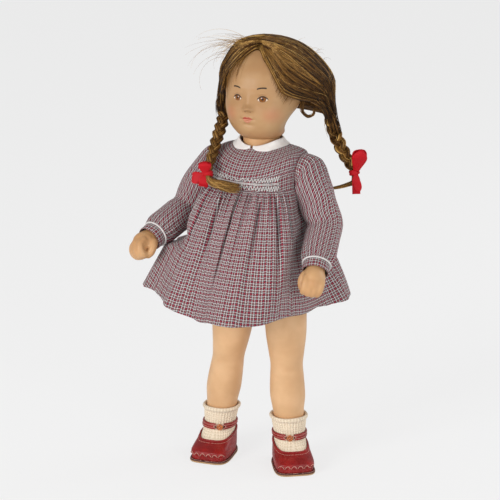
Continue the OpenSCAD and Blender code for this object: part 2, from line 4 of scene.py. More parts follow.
import bmesh
import bpy
import numpy as np
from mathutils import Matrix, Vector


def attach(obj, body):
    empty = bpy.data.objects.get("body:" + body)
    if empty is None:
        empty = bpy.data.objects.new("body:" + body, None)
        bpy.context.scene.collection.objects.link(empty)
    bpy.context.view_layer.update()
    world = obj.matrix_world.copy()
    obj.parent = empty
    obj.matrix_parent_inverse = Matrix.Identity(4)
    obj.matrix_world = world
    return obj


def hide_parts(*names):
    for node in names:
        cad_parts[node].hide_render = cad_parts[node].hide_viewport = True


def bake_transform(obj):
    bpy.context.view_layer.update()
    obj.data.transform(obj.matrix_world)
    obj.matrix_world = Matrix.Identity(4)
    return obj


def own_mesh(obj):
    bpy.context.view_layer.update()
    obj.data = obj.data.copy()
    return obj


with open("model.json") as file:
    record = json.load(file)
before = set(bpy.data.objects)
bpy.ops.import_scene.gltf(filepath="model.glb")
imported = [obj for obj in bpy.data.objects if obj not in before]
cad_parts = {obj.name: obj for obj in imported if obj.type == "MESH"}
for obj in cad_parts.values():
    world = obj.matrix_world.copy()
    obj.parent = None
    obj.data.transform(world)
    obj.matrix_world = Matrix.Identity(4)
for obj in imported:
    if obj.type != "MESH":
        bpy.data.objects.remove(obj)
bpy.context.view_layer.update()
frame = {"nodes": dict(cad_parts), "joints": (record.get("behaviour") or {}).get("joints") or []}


# Stringing: covered elastics with a wooden toggle and a knot at each end hold the head, arms and legs on.
# They are sealed inside the vinyl. The elastic is woven cotton over rubber, the toggles are turned wood.

class Dye:
    """One socket of a material. Arithmetic on dyes adds Math nodes to the material they belong to."""

    def __init__(self, tree, socket):
        self.tree, self.socket = tree, socket

    def feed(self, target, value):
        """Links a dye to a socket, or sets the socket to a plain value."""
        if isinstance(value, Dye):
            self.tree.links.new(value.socket, target)
        else:
            target.default_value = value

    def add(self, kind, settings=None, sockets=None, out=0):
        """New node of that kind: settings first, then values or links by socket name or number."""
        node = self.tree.nodes.new("ShaderNode" + kind)
        for key, value in (settings or {}).items():
            setattr(node, key, value)
        for key, value in (sockets or {}).items():
            self.feed(node.inputs[key], value)
        return Dye(self.tree, node.outputs[out])

    def math(self, operation, *others):
        return self.add("Math", {"operation": operation}, dict(enumerate((self, *others))))

    __add__ = __radd__ = partialmethod(math, "ADD")
    __mul__ = __rmul__ = partialmethod(math, "MULTIPLY")
    __sub__, __truediv__ = partialmethod(math, "SUBTRACT"), partialmethod(math, "DIVIDE")
    __abs__, squared = partialmethod(math, "ABSOLUTE"), partialmethod(math, "POWER", 2.0)
    folded = partialmethod(math, "PINGPONG")  # up and down between 0 and a size

    def __rsub__(self, other):
        return self.add("Math", {"operation": "SUBTRACT"}, {0: other, 1: self})

    def soft(self, low, high):
        """0 below low, 1 above high, eased between. With low above high it falls."""
        return self.add("MapRange", {"interpolation_type": "SMOOTHSTEP"},
                        {"Value": self, "From Min": low, "From Max": high})

    def tint(self, first, second):
        """Colour that goes from first to second as this dye goes from 0 to 1."""
        return self.add("Mix", {"data_type": "RGBA"}, {0: self, 6: first, 7: second}, out=2)

    def ramp(self, stops, steps="LINEAR"):
        """Colour looked up in a row of (place, colour) stops."""
        made = self.add("ValToRGB", sockets={0: self})
        bar = made.socket.node.color_ramp
        bar.interpolation = steps
        bar.elements.remove(bar.elements[1])
        bar.elements[0].position, bar.elements[0].color = stops[0]
        for place, colour in stops[1:]:
            bar.elements.new(place).color = colour
        return made

    def part(self, k):
        """The x, y or z of a vector."""
        return self.add("SeparateXYZ", sockets={0: self}, out=k)

    def stretched(self, x, y, z):
        """The vector with each part multiplied."""
        return self.add("VectorMath", {"operation": "MULTIPLY"}, {0: self, 1: (x, y, z)})

    def noise(self, scale, detail=2.0):
        return self.add("TexNoise", sockets={"Vector": self, "Scale": scale, "Detail": detail})

    def paint(self, colour, rough=None, relief=None, depth=0.0, strength=1.0):
        """Feeds the material's colour, its roughness, and bumps of that depth in metres."""
        shader = self.tree.nodes["Principled BSDF"].inputs
        self.feed(shader["Base Color"], colour)
        if rough is not None:
            self.feed(shader["Roughness"], rough)
        if relief is not None:
            self.feed(shader["Normal"], self.add("Bump", sockets={
                "Height": relief, "Distance": depth, "Strength": strength}))


def ink(red, green, blue):
    """Linear colour of a paint named by its screen values, 0 to 255."""
    c = np.array([red, green, blue]) / 255
    return (*np.where(c < 0.04045, c / 12.92, ((c + 0.055) / 1.055) ** 2.4), 1.0)


def finish(name, constants, source="Object"):
    """New material with its plain values set; returns it and its coordinates."""
    material = bpy.data.materials.new(name)
    material.use_nodes = True
    tree = material.node_tree
    for key, value in constants.items():
        tree.nodes["Principled BSDF"].inputs[key].default_value = value
    return material, Dye(tree, tree.nodes.new("ShaderNodeTexCoord").outputs[source])


def twisted(name, constants, scale, dark, light, depth, uneven=0.0):
    """Finish of thread or cord: slanting bands between two colours."""
    material, place = finish(name, constants)
    bands = place.add("TexWave", {"bands_direction": "DIAGONAL"},
                      {"Vector": place, "Scale": scale, "Distortion": uneven})
    place.paint(bands.tint(dark, light), relief=bands, depth=depth)
    return material


def clad(nodes, material):
    """Gives shown CAD nodes their finish."""
    for node in nodes:
        frame["nodes"][node].data.materials.clear()
        frame["nodes"][node].data.materials.append(material)


elastic = twisted("elastic", {"Roughness": 0.8, "Sheen Weight": 0.3}, 900,
                  ink(196, 190, 176), ink(236, 232, 222), 0.0002, uneven=0.6)
clad(("arm_elastic", "neck_elastic", "leg_elastic"), elastic)

toggle_wood, place = finish("toggle_wood", {"Roughness": 0.5})
grain = place.stretched(40, 40, 400).noise(6, 4)
place.paint(grain.tint(ink(138, 98, 58), ink(196, 152, 100)), 0.4 + 0.25 * grain)
clad(("neck_toggle", "left_arm_toggle", "right_arm_toggle", "left_leg_toggle", "right_leg_toggle"), toggle_wood)


# Torso: one hollow vinyl moulding with a round neck, hidden by the dress but for the neck.
# The vinyl is tan and satin, coloured right through, with faint clouding from the mould.

mm = 0.001
joint_at = {j["name"]: np.array(j["pos_m"]) for j in frame["joints"]}
neck_y = 5
middle = joint_at["head_turn"] * [1, 1, 0] - [0, neck_y * mm, 0]


def placed(points):
    """Doll millimetres, measured from its centre line, to metres in the shared frame."""
    return np.asarray(points, float) * mm + middle


def mix(a, b, t):
    return a + (b - a) * t


def ease(t):
    t = np.clip(t, 0, 1)
    return t * t * (3 - 2 * t)


def bell(x, n=2):
    return np.exp(-x ** n)


def unit(v):
    return v / np.maximum(np.linalg.norm(v, axis=-1, keepdims=True), 1e-9)


def cosd(t):
    return np.cos(np.radians(t))


def sind(t):
    return np.sin(np.radians(t))


def circle(n):
    """A row of n angles round a ring."""
    return np.linspace(0, 360, n, endpoint=False)[None]


def down_to(low, high, n):
    """A column of n even steps."""
    return np.linspace(low, high, n)[:, None]


def linear(x, rows):
    """Straight lines through a table's rows."""
    return np.interp(x, *np.array(rows, float).T)


def smooth(x, rows):
    """Cubic through a table's rows, each slope taken from the two neighbours."""
    k, f = np.array(rows, float).T
    slope = np.gradient(f, k)
    x = np.clip(x, k[0], k[-1])
    i = np.clip(np.searchsorted(k, x, side="right") - 1, 0, len(k) - 2)
    h = k[i + 1] - k[i]
    s = (x - k[i]) / h
    return ((1 + 2 * s) * f[i] + s * h * slope[i]) * (1 - s) ** 2 + (
        (3 - 2 * s) * f[i + 1] - (1 - s) * h * slope[i + 1]) * s ** 2


def columns(curve, x, rows):
    """Each column of a table after the first, read at x by linear or smooth."""
    rows = np.array(rows, float)
    return [curve(x, rows[:, [0, k]]) for k in range(1, rows.shape[1])]


def power(c, n):
    return np.sign(c) * np.abs(c) ** (2 / n)


def egg(t, a, f, b, c, n, k):
    """Egg outline at angle t: half width a, front f, back b, widest at depth c; squareness n in front, k behind."""
    s = sind(t)
    q = np.where(s < 0, n, k)
    return a * power(cosd(t), q), c + np.where(s < 0, c - f, b - c) * power(s, q)


def grid_of(*parts):
    """Grid of points or uvs from its coordinates, each one a row, a column or a grid."""
    return np.stack(np.broadcast_arrays(*parts), -1)


def corners(r, c):
    """The four corners of grid cells in turn."""
    return (r, c), (r, c + 1), (r + 1, c + 1), (r + 1, c)


def piece(name, mesh):
    """Links a finished mesh as an object at the origin, smooth shaded."""
    mesh.shade_smooth()
    made = bpy.data.objects.new(name, mesh)
    bpy.context.scene.collection.objects.link(made)
    return made


def surface(name, points, uv=None, around=True):
    """Skin over a grid of points (rows, columns, xyz) in doll millimetres, its columns joined into a ring if around.
    uv, in metres, has one more column than a ring. Points that meet are merged and faces turned outwards."""
    m, n = points.shape[:2]
    cells = corners(*np.mgrid[0:m - 1, 0:n if around else n - 1])
    faces = np.stack([i * n + j % n for i, j in cells], -1).reshape(-1, 4)
    mesh = bpy.data.meshes.new(name)
    mesh.from_pydata(placed(points).reshape(-1, 3).tolist(), [], faces.tolist())
    if uv is not None:
        loops = np.stack([uv[i, j] for i, j in cells], 2)
        mesh.uv_layers.new(name="UVMap").data.foreach_set("uv", loops.astype(np.float32).ravel())
    sewn = bmesh.new()
    sewn.from_mesh(mesh)
    bmesh.ops.remove_doubles(sewn, verts=sewn.verts, dist=2e-6)
    bmesh.ops.recalc_face_normals(sewn, faces=sewn.faces)
    sewn.to_mesh(mesh)
    sewn.free()
    return piece(name, mesh)


def fitted(made, material, slot, body, *nodes):
    """Finish, material slot (not used), body and replaced CAD nodes of a new piece."""
    made.data.materials.append(material)
    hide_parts(*nodes)
    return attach(made, body)


def closed(rings):
    """Rings with both ends drawn in to their middles."""
    ends = [np.repeat(rings[k:k + 1].mean(1, keepdims=True), rings.shape[1], 1) for k in (0, len(rings) - 1)]
    return np.concatenate([ends[0], rings, ends[1]])


vinyl_bits = {"Roughness": 0.42, "Subsurface Weight": 0.06, "Subsurface Scale": 0.002,
              "Subsurface Radius": (1.0, 0.5, 0.3), "Specular IOR Level": 0.35}


def vinyl_finish(name, deep, tan):
    """Satin vinyl clouded between two tones."""
    material, place = finish(name, vinyl_bits)
    place.paint(place.noise(38, 3).soft(0.3, 0.75).tint(deep, tan), 0.36 + 0.12 * place.noise(150, 2),
                relief=place.noise(1400, 2), depth=0.00008, strength=0.5)
    return material


vinyl = vinyl_finish("vinyl", ink(190, 142, 96), ink(204, 160, 114))
torso_low, torso_top = 169.6, 321
hips_from, hips_z, hips_to = 211.6, 212, 212.4  # the step from between the legs out to the hips
torso_rows = [  # height, half width, front, back
    [torso_low, 13.4, -3, 9], [173, 13.8, -9, 15], [180, 13.9, -14, 20], [189, 13.9, -16.2, 22.2],
    [200, 13.9, -16.2, 22.2], [hips_from, 13.9, -16.2, 22.2], [hips_to, 37, -28, 29], [218, 41, -35.5, 32],
    [229, 41, -38.5, 31.5], [242, 40, -37.5, 29.5], [256, 39, -33, 28], [268, 39.5, -30.5, 27.5],
    [280, 40.8, -27, 26.5], [288, 39.6, -22, 25.5], [294, 33, -17.5, 24.5], [298, 25, -15, 23.5],
    [301, 19.6, -13.5, 22.5], [304.5, 16.8, -11.6, 21.6], [310, 16.4, -11.4, 21.4], [317, 16.5, -11.5, 21.5],
    [319.5, 14, -9, 19], [torso_top, 9, -4, 14]]
z = np.unique(np.r_[np.linspace(torso_low, torso_top, 150), hips_from, hips_to])[:, None]
square = np.where(z < hips_z, 3, 2.2)
x, y = egg(circle(96), *columns(linear, z, torso_rows), 4, square, square)
fitted(surface("torso_skin", closed(grid_of(x, y, z))), vinyl, "vinyl", "torso", "torso_shell")


# Legs: one vinyl moulding each, with a round top in the hip, a soft knee and a foot turned out.
# The left foot points well outwards, so the two legs are not mirror images.

ankle_z, hip_z, thigh_r, heel_n = 34, 189, 20, 2.2
thigh_from, thigh_gap = 165, 14.4
leg_r = [[34, 13.4], [53, 14.6], [69, 16.5], [77, 16.4], [88, 15.8], [100, 15.2], [111, 16.5],
         [130, 18.9], [150, 19.6], [168, thigh_r], [hip_z, thigh_r]]
foot_w = [[5.5, 12], [8, 13.4], [12, 13.4], [18, 13.1], [26, 13], [34, 13.4]]
foot_f = [[5.5, 32], [8, 35], [11, 34.5], [14, 30], [16, 25.5], [18, 21.5], [20, 18.8], [24, 15.8],
          [28, 14.4], [34, 13.4]]
foot_b = [[5.5, 15.5], [8, 17.2], [12, 17.6], [18, 16.8], [26, 14.6], [34, 13.4]]
toe_n = [[5.5, 4.6], [11, 4.4], [14, 3.8], [20, 2.8], [30, 2]]
leg_vinyl = vinyl_finish("leg_vinyl", ink(206, 162, 118), ink(220, 178, 134))
leg_lines = {  # x by height, y by height, toe-out, sign of x
    "left": ([[28, 28.5], [80, 27.7], [130, 28], [189, 25.5]], [[28, 8.5], [80, 4.5], [130, 1], [189, 3]], 38, 1),
    "right": ([[28, 44.5], [70, 38.5], [125, 29], [189, 25.5]], [[28, 4], [80, 2], [130, 0.5], [189, 3]], -8, -1)}


def leg_point(t, z, d, side):
    """Leg skin at angle t and height z, moved outwards by d: round above the ankle, and below it a turned foot,
    an egg drawn broad at the toe and narrow at the heel. The tops stay clear of each other."""
    line_x, line_y, toe_out, sign = leg_lines[side]
    t, z, d = np.broadcast_arrays(t, z, d)
    n = linear(z, toe_n)
    foot = egg(t, linear(z, foot_w) + d, -linear(z, foot_f) - d, linear(z, foot_b) + d, 0, n, heel_n)
    r = np.where(z > hip_z, np.sqrt(np.maximum(0, thigh_r ** 2 - (z - hip_z) ** 2)), smooth(z, leg_r)) + d
    fore = power(sind(t), np.where(sind(t) < 0, n, heel_n))
    taper = 0.2 * ease((30 - z) / 22)
    px = np.where(z < ankle_z, foot[0] * (1 - taper * fore), r * cosd(t))
    py = np.where(z < ankle_z, foot[1], r * sind(t))
    x = smooth(z, line_x) + px * cosd(toe_out) - py * sind(toe_out)
    y = smooth(z, line_y) + px * sind(toe_out) + py * cosd(toe_out)
    x = np.where(z > thigh_from, np.maximum(thigh_gap, x), x)
    return np.stack([sign * x, y, z], -1)


z = np.r_[np.linspace(5.5, ankle_z, 40), np.linspace(ankle_z + 1, hip_z, 150),
          hip_z + thigh_r * sind(np.linspace(3, 88, 24))][:, None]
t = circle(112)
knee = 0.9 * bell((z - 106) / 6) - 0.7 * bell((z - 96) / 3.5)
for side in ("left", "right"):
    leg = surface(side + "_leg_skin", closed(leg_point(t, z, bell((t - 270) / 30) * knee, side)))
    fitted(leg, leg_vinyl, "vinyl", side + "_leg", side + "_leg")


# Socks: short cream rib-knit tubes with a rolled top edge, pulled on over the foot.
# The ribs run up the ankle and close up finer over the instep.

rib_count, sock_round = 36, 0.1
knit, place = finish("sock_knit", {"Roughness": 0.9, "Sheen Weight": 0.25}, "UV")
# ridge and loop paint the knit darker in the rib valleys and between the stitch loops, as painted shade, and also give
# its bumps; fuzz is the yarn's own random tone
ridge = (place.part(0) * (rib_count / sock_round) + 0.5).math("FRACT").folded(0.5) * 2
loop = ((place.part(1) + 0.0005 * ridge) / 0.0011).folded(1.0)
fuzz = place.noise(700, 3)
place.paint((0.32 * ridge + 0.25 * loop + 0.6 * fuzz).soft(0.05, 0.85).tint(ink(198, 178, 148), ink(238, 222, 198)),
            relief=0.6 * loop + fuzz, depth=0.0005, strength=0.8)


def measured(points, axis=0):
    """How far each point lies from the first one, along the lines of points that run down that axis."""
    step = np.linalg.norm(np.diff(points, axis=axis), axis=-1)
    return np.insert(np.cumsum(step, axis), 0, 0, axis)


# distance from the skin and height, up the leg and round the rolled top
climb = np.linspace(7, 43.2, 46)
off_skin = linear(climb, [[7, 1.1], [15, 1.1], [17, 1.45], [33, 1.5], [42, 2.1]])
roll = [[2.2, 44.0], [2.6, 45.2], [3.4, 46.0], [4.0, 47.2], [3.9, 48.6], [3.1, 49.6], [2.1, 49.6], [1.3, 48.9],
        [0.9, 47.6], [0.5, 45.5]]
rows = np.r_[np.stack([off_skin, climb], 1), roll]
d, z = rows[:, :1], rows[:, 1:]
t = circle(rib_count * 10)
rib = np.where(z < 26, 0.16, 0.26) * cosd(rib_count * t) * (1 - 0.6 * ease((z - 44) / 3))
wobble = 0.25 * sind(3 * t + 6 * z) * ease((z - 36) / 10)
uv = grid_of(np.linspace(0, sock_round, t.size + 1), measured(rows)[:, None] * mm)
for side in ("left", "right"):
    sock = surface(side + "_sock_knit", leg_point(t, z + wobble, d + rib, side), uv)
    fitted(sock, knit, "sock_knit", side + "_leg", side + "_sock")


# Shoes: dark red leather uppers puckered into a thin stitched sole, with a bound and stitched throat.
# A strap of the same leather closes round the ankle with a cord loop over a round button.

def square_to(run, hint):
    """Two directions square to a run and to each other."""
    side = unit(np.cross(run, hint))
    return side, np.cross(run, side)


def spokes(n, first, second):
    """n directions round a ring that lies on two axes."""
    a = (2 * np.pi * np.arange(n) / n)[:, None]
    return np.cos(a) * first[..., None, :] + np.sin(a) * second[..., None, :]


def strands(name, paths, radius, sides=3, tone=0.0):
    """Tubes round many paths at once, (paths, points, xyz) in doll millimetres; each ring lies on two axes square to
    its path. tone, from dark to light at each point, is kept as an attribute for the finish."""
    n, m = paths.shape[:2]
    ring = spokes(sides, *square_to(unit(np.gradient(paths, axis=1)), [0.36, 0.48, 0.80]))
    points = paths[:, :, None] + np.broadcast_to(radius, (n, m))[:, :, None, None] * ring
    p, r, c = np.mgrid[0:n, 0:m - 1, 0:sides]
    faces = np.stack([(p * m + i) * sides + j % sides for i, j in corners(r, c)], -1).reshape(-1, 4)
    first = np.arange(n)[:, None] * m * sides + np.arange(sides)
    mesh = bpy.data.meshes.new(name)
    mesh.from_pydata(placed(points).reshape(-1, 3).tolist(), [],
                     faces.tolist() + first[:, ::-1].tolist() + (first + (m - 1) * sides).tolist())
    tones = np.repeat(np.broadcast_to(tone, (n, m)).ravel(), sides)
    mesh.attributes.new("tone", "FLOAT", "POINT").data.foreach_set("value", tones.astype(np.float32))
    return piece(name, mesh)


def dashes(line, count, share):
    """Cuts an (m, 3) line into count stitches, each covering that share of its step."""
    m = len(line) - 1
    k = (np.arange(count)[:, None] + np.linspace(0, share, 5)[None]) / count * m
    return np.stack([np.interp(k, np.arange(m + 1), line[:, a]) for a in range(3)], -1)


def turned(profile, at, way, n=40):
    """Lathe work: rows of radius and height spun round direction way at point at."""
    profile = np.array(profile, float)[:, None]
    return at + profile[..., :1] * spokes(n, *square_to(way, [0.0, 0.0, 1.0])) + profile[..., 1:] * way


shoe_red, place = finish("shoe_leather", {"Roughness": 0.34, "Coat Weight": 0.12, "Coat Roughness": 0.2,
                                          "Specular IOR Level": 0.35})
hide = place.noise(90, 4)
scuff = place.noise(420, 5).soft(0.56, 0.72) * place.part(2).soft(0.0125, 0.006)
crackle = place.add("TexVoronoi", {"feature": "DISTANCE_TO_EDGE"}, {"Vector": place, "Scale": 700})
dark = hide.soft(0.3, 0.75).tint(ink(126, 16, 16), ink(154, 26, 24))
place.paint((0.35 * scuff).tint(dark, ink(190, 96, 88)), 0.28 + 0.18 * hide + 0.2 * scuff,
            relief=crackle.soft(0.0, 0.12) + 0.5 * hide, depth=0.00012, strength=0.6)

welt_tan, place = finish("sole_leather", {"Roughness": 0.6})
layer = place.stretched(200, 200, 2500).noise(1.5, 3)
edge = place.part(2).soft(0.0012, 0.0019)
place.paint(edge.tint(layer.tint(ink(150, 112, 74), ink(206, 172, 126)), ink(74, 36, 28)), 0.5 + 0.3 * layer,
            relief=layer, depth=0.0002)

pale_thread = twisted("shoe_thread", {"Roughness": 0.7}, 1500, ink(196, 124, 110), ink(228, 176, 160), 0.0001)

button_brown, place = finish("button", {"Roughness": 0.22, "Coat Weight": 0.5})
streak = place.stretched(300, 300, 900).noise(1.2, 3)
place.paint(streak.soft(0.3, 0.7).tint(ink(126, 52, 16), ink(204, 118, 50)), 0.16 + 0.2 * streak)

sole_t, tread_z, upper_off, strap_z, button_r = 2.8, 9.0, 3.3, 30.4, 3.1
sole_rows = [[-9, 0.0], [3.4, 0.0], [3.9, 0.15], [4.15, 0.7], [4.2, 1.4], [4.15, 2.2], [3.95, 2.7], [3.5, 2.85],
             [1.5, 2.9], [-9, 2.9]]
strap_rows = [[1.9, -2.4], [2.1, -2.8], [2.9, -2.8], [3.15, -2.4], [3.3, 0], [3.15, 2.4], [2.9, 2.8], [2.1, 2.8],
              [1.9, 2.4]]
dish = [[0, 0], [button_r - 0.5, 0], [button_r, 0.5], [button_r, 1.4], [button_r - 0.35, 1.9], [button_r - 0.9, 1.9],
        [1.5, 1.45], [0.9, 1.4], [0.6, 1.8], [0, 1.9]]


def shoe_top(t):
    """Height of the shoe opening at angle t: low over the instep, high at the heel."""
    return 18.2 + 9.1 * ((1 + sind(t)) / 2) ** 1.2


def sole_line(t, d, h, side):
    """Outline of the foot's tread, d outside its skin, laid at height h."""
    return leg_point(t, tread_z, d, side) * [1, 1, 0] + [0, 0, h]


def sewn_on(side, name, paths, radius, sides=5):
    """Thread or cord on a shoe."""
    fitted(strands(f"{side}_{name}", paths, radius, sides), pale_thread, "shoe_leather", side + "_leg")


def walled(made, thick):
    """Gives leather or cloth its thickness, inwards."""
    wall = made.modifiers.new("wall", "SOLIDIFY")
    wall.thickness, wall.offset = thick * mm, -1
    return made


t = circle(216)
loop_t = np.linspace(0, 360, 217)
for side, sign, aim in (("left", 1, 28), ("right", -1, -28)):
    body = side + "_leg"
    # sole: flat below, a rounded edge, and a rim just wider than the upper
    sole = surface(side + "_sole", closed(np.stack([sole_line(t[0], d, h, side) for d, h in sole_rows])))
    fitted(sole, welt_tan, "sole_leather", body, side + "_shoe_sole")
    # upper: follows the foot, with small gathers where the toe is drawn on to the sole
    z = mix(sole_t + 0.1, shoe_top(t), down_to(0, 1, 44))
    pucker = bell((t - 270) / 52, 4) * bell((z - 6.5) / 3.4) * (0.5 * np.abs(cosd(10 * (t - 270))) - 0.3)
    foot = leg_point(t, np.maximum(7.0, z), upper_off + pucker, side)
    foot[..., 2] = z
    upper = walled(surface(side + "_upper", foot), 1.3)
    fitted(upper, shoe_red, "shoe_leather", body, side + "_shoe_upper")
    # binding rolled over the throat edge, a stitch line below it, one round the welt, and loops over the toe
    bound = strands(side + "_throat_binding", leg_point(loop_t, shoe_top(loop_t), 2.7, side)[None], 0.95, 8)
    fitted(bound, shoe_red, "shoe_leather", body)
    below = dashes(leg_point(loop_t, shoe_top(loop_t) - 1.2, 3.45, side), 72, 0.78)
    welt = dashes(sole_line(loop_t, 3.72, 2.95, side), 110, 0.6)
    sewn_on(side, "shoe_stitches", np.concatenate([below, welt]), 0.2)
    bend = np.linspace(0, 180, 15)[None]
    along = np.array([[-0.74], [-0.45], [-0.15], [0.15], [0.45], [0.74]]) + 0.13 * cosd(bend)
    toe_t = 360 - np.degrees(np.arccos(power(along, 2 / 2.25)))
    sewn_on(side, "toe_loops", leg_point(toe_t, 5.6 + 4.2 * sind(bend), 3.55, side), 0.34)
    # strap: a flat band open at the button, its two edges stitched
    line_x, line_y, toe_out, _ = leg_lines[side]
    span = np.degrees(np.arctan2(-cosd(aim), sind(aim))) - toe_out + np.linspace(15, 345, 150)
    rings = np.stack([leg_point(span, strap_z + h, d, side) for d, h in strap_rows], 1)
    fitted(surface(side + "_strap", closed(rings)), shoe_red, "shoe_leather", body, side + "_shoe_strap")
    lines = [dashes(leg_point(span[2:-2], strap_z + h, 3.3, side), 60, 0.7) for h in (-1.2, 1.2)]
    sewn_on(side, "strap_stitches", np.concatenate(lines), 0.24)
    # button: a shallow dished disc on the strap, with a thread at its middle and a cord loop round it
    way = np.array([sign * sind(aim), -cosd(aim), 0.0])
    centre = np.array([sign * smooth(strap_z, line_x), smooth(strap_z, line_y), strap_z]) + 17.4 * way
    button = surface(side + "_button", turned(dish, centre, way))
    fitted(button, button_brown, "button", body, side + "_strap_button")
    across = unit(np.cross([0.0, 0.0, 1.0], way))
    ring = 2 * np.pi * down_to(0, 1, 60)
    tie = centre + 0.35 * way + 5.6 * np.cos(ring) * across + [0, 0, 2.3] * np.sin(ring)
    sewn_on(side, "button_loop", (tie - 1.1 * np.cos(ring) ** 2 * way)[None], 0.42, 6)


# Arms: one vinyl moulding each, round at the shoulder, bent at the elbow, the hand loosely closed.
# Four fingers curl towards the body and the thumb lies across them in front.

shoulder, shoulder_flat = np.array([50.0, neck_y, 283.0]), 43.6
swing = {"left": (30, 1, 0), "right": (48, -1, 8)}  # forwards, sign of x, lower arm held out
arm_path = [[0, 0, 0], [5.5, 7, -16], [12, 15, -31], [16, 20, -41], [18.5, 16.2, -53], [21.5, 11, -68],
            [24.2, 6.4, -82], [25.3, 4.6, -88], [26.4, 2.8, -94]]
arm_r = [13.5, 12.8, 12.2, 11.8, 11.4, 10.4, 8.6, 8.8, 9.6]
cuff_way = unit(np.array([12.0, -20.0, -60.0]))
wrist = np.array([25.3, 4.6, -88.0])
palm_turn, hand_size = 58, 0.80
inner = unit(np.array([-1.0, 0.0, 0.0]) + cuff_way * cuff_way[0])
ahead = np.cross(inner, cuff_way)
palm_way = cosd(palm_turn) * inner - sind(palm_turn) * ahead
thumb_way = cosd(palm_turn) * ahead + sind(palm_turn) * inner


def on_arm(points, side):
    """Points drawn on a hanging left arm, swung forwards to the photographed place of that side's arm."""
    angle, sign, spread = swing[side]
    x, y, z = np.moveaxis(np.asarray(points, float), -1, 0)
    x = x + spread * ease((-z - 18) / 75)
    c, s = cosd(-angle), sind(-angle)
    return (np.stack([x, y * c - z * s, y * s + z * c], -1) + shoulder) * [sign, 1, 1]


def route(points, m):
    """m evenly spaced points on the cubic through the given ones, with how far along each of them is."""
    p = np.array(points, float)
    k = measured(p)
    s = np.linspace(0, k[-1], m)
    return np.stack(columns(smooth, s, np.c_[k, p]), 1), s / k[-1], k / k[-1]


def limb(points, radii, m=24, n=20):
    """Round tube along a route, its ends domed."""
    line, s, k = route(points, m)
    r = smooth(s, np.c_[k, radii])
    run = unit(np.gradient(line, axis=0))
    dome = sind(np.linspace(0, 75, 5))[1:]
    line = np.r_[line[:1] - dome[::-1, None] * r[0] * run[:1], line, line[-1:] + dome[:, None] * r[-1] * run[-1:]]
    r = np.r_[r[0] * np.sqrt(1 - dome[::-1] ** 2), r, r[-1] * np.sqrt(1 - dome ** 2)]
    run = np.r_[np.repeat(run[:1], 4, 0), run, np.repeat(run[-1:], 4, 0)]
    return closed(line[:, None] + r[:, None, None] * spokes(n, *square_to(run, [0.2, 0.9, 0.3])))


def fused(name, parts, voxel, soften):
    """One skin round several overlapping closed shapes: voxel remesh, then smoothing."""
    rough = [surface(name + "_rough", p) for p in parts]
    with bpy.context.temp_override(active_object=rough[0], selected_editable_objects=rough, object=rough[0]):
        bpy.ops.object.join()
    whole = rough[0]
    skin = whole.modifiers.new("skin", "REMESH")
    skin.mode, skin.voxel_size = "VOXEL", voxel * mm
    calm = whole.modifiers.new("calm", "SMOOTH")
    calm.iterations, calm.factor = soften, 0.5
    mesh = bpy.data.meshes.new_from_object(whole.evaluated_get(bpy.context.evaluated_depsgraph_get()))
    bpy.data.objects.remove(whole)
    mesh.name = name
    return piece(name, mesh)


def in_hand(rows, thumbward=1.0):
    """Points of the hand: down the forearm from the wrist, out of the palm, and towards the thumb's side, this last
    times thumbward."""
    down, out, over = np.hsplit(np.array(rows, float), 3)
    return wrist + hand_size * (down * cuff_way + out * palm_way + over * thumbward * thumb_way)


hand_parts = [(arm_path, arm_r),
              (in_hand([[-2, 0, 0], [5, -1.5, 0], [12, -2.5, 0.4], [17, -2, 0.4]]), [8.6, 9.0, 9.2, 8.0]),
              (in_hand([[8, -1.4, -4], [17, -2.4, -4.8]]), [7.0, 6.0]),
              (in_hand([[8, -1.4, 4], [17, -2.4, 4.8]]), [7.0, 6.0])]
for thumbward, tip in ((8.4, 0.2), (2.9, 1.0), (-2.6, 0.6), (-8.0, -1.0)):
    curl = [[14, -5, 1], [20.5 + tip, -4.2, 1], [25 + tip, 0.6, 1], [25 + tip, 6.6, 0.95], [20.5 + tip, 10, 0.9],
            [16, 10.4, 0.86]]
    hand_parts.append((in_hand(curl, thumbward), [3.8, 3.75, 3.7, 3.4, 3.0, 2.4]))
thumb = in_hand([[2, 2.5, 6], [7, 5, 10.4], [13, 8.6, 11.4], [18, 11.6, 9.2], [20.5, 12.4, 6.6]])
hand_parts.append((thumb, [4.5, 4.3, 3.8, 3.3, 2.6]))
for side in ("left", "right"):
    shapes = [on_arm(limb(p, r), side) for p, r in hand_parts]
    # the shoulder is flat towards the body
    flat = shapes[0] * [0, 1, 1] + [shoulder_flat * swing[side][1], 0, 0]
    shapes[0] = np.where(np.abs(shapes[0][..., :1]) > shoulder_flat, shapes[0], flat)
    fitted(fused(side + "_arm_skin", shapes, 0.8, 7), vinyl, "vinyl", side + "_arm", side + "_arm")


# Dress: a smocked baby-check frock. The yoke is cut in one round the neck, and the full skirt is gathered to it.
# The cloth is a fine cotton check woven from crimson, white, slate and grey-green threads, repeated every 5.5 mm.

check_pitch, thread_w = 5.5 * mm, 0.3 * mm
crimson, chalk, slate, moss = ink(156, 8, 42), ink(252, 249, 245), ink(38, 40, 52), ink(84, 114, 102)
check = [(0.0, crimson), (0.085, slate), (0.25, chalk), (0.325, slate), (0.42, moss), (0.46, crimson), (0.54, moss),
         (0.58, slate), (0.675, chalk), (0.75, slate), (0.915, crimson)]
plaid, place = finish("check_cotton", {"Roughness": 0.85, "Sheen Weight": 0.2, "Sheen Roughness": 0.5}, "UV")
across, down = place.part(0), place.part(1)
warp, weft = ((way / check_pitch).math("FRACT").ramp(check, "CONSTANT") for way in (across, down))
over = ((across / thread_w).math("FLOOR") + (down / thread_w).math("FLOOR")).folded(1.0)
fade = place.noise(35, 3).soft(0.2, 0.8)
thread = (across / thread_w).folded(0.5) + (down / thread_w).folded(0.5)
place.paint((0.05 * fade).tint((0.25 + 0.5 * over).tint(warp, weft), ink(120, 84, 90)),
            relief=0.12 * thread + place.noise(95, 3), depth=0.0011, strength=0.6)

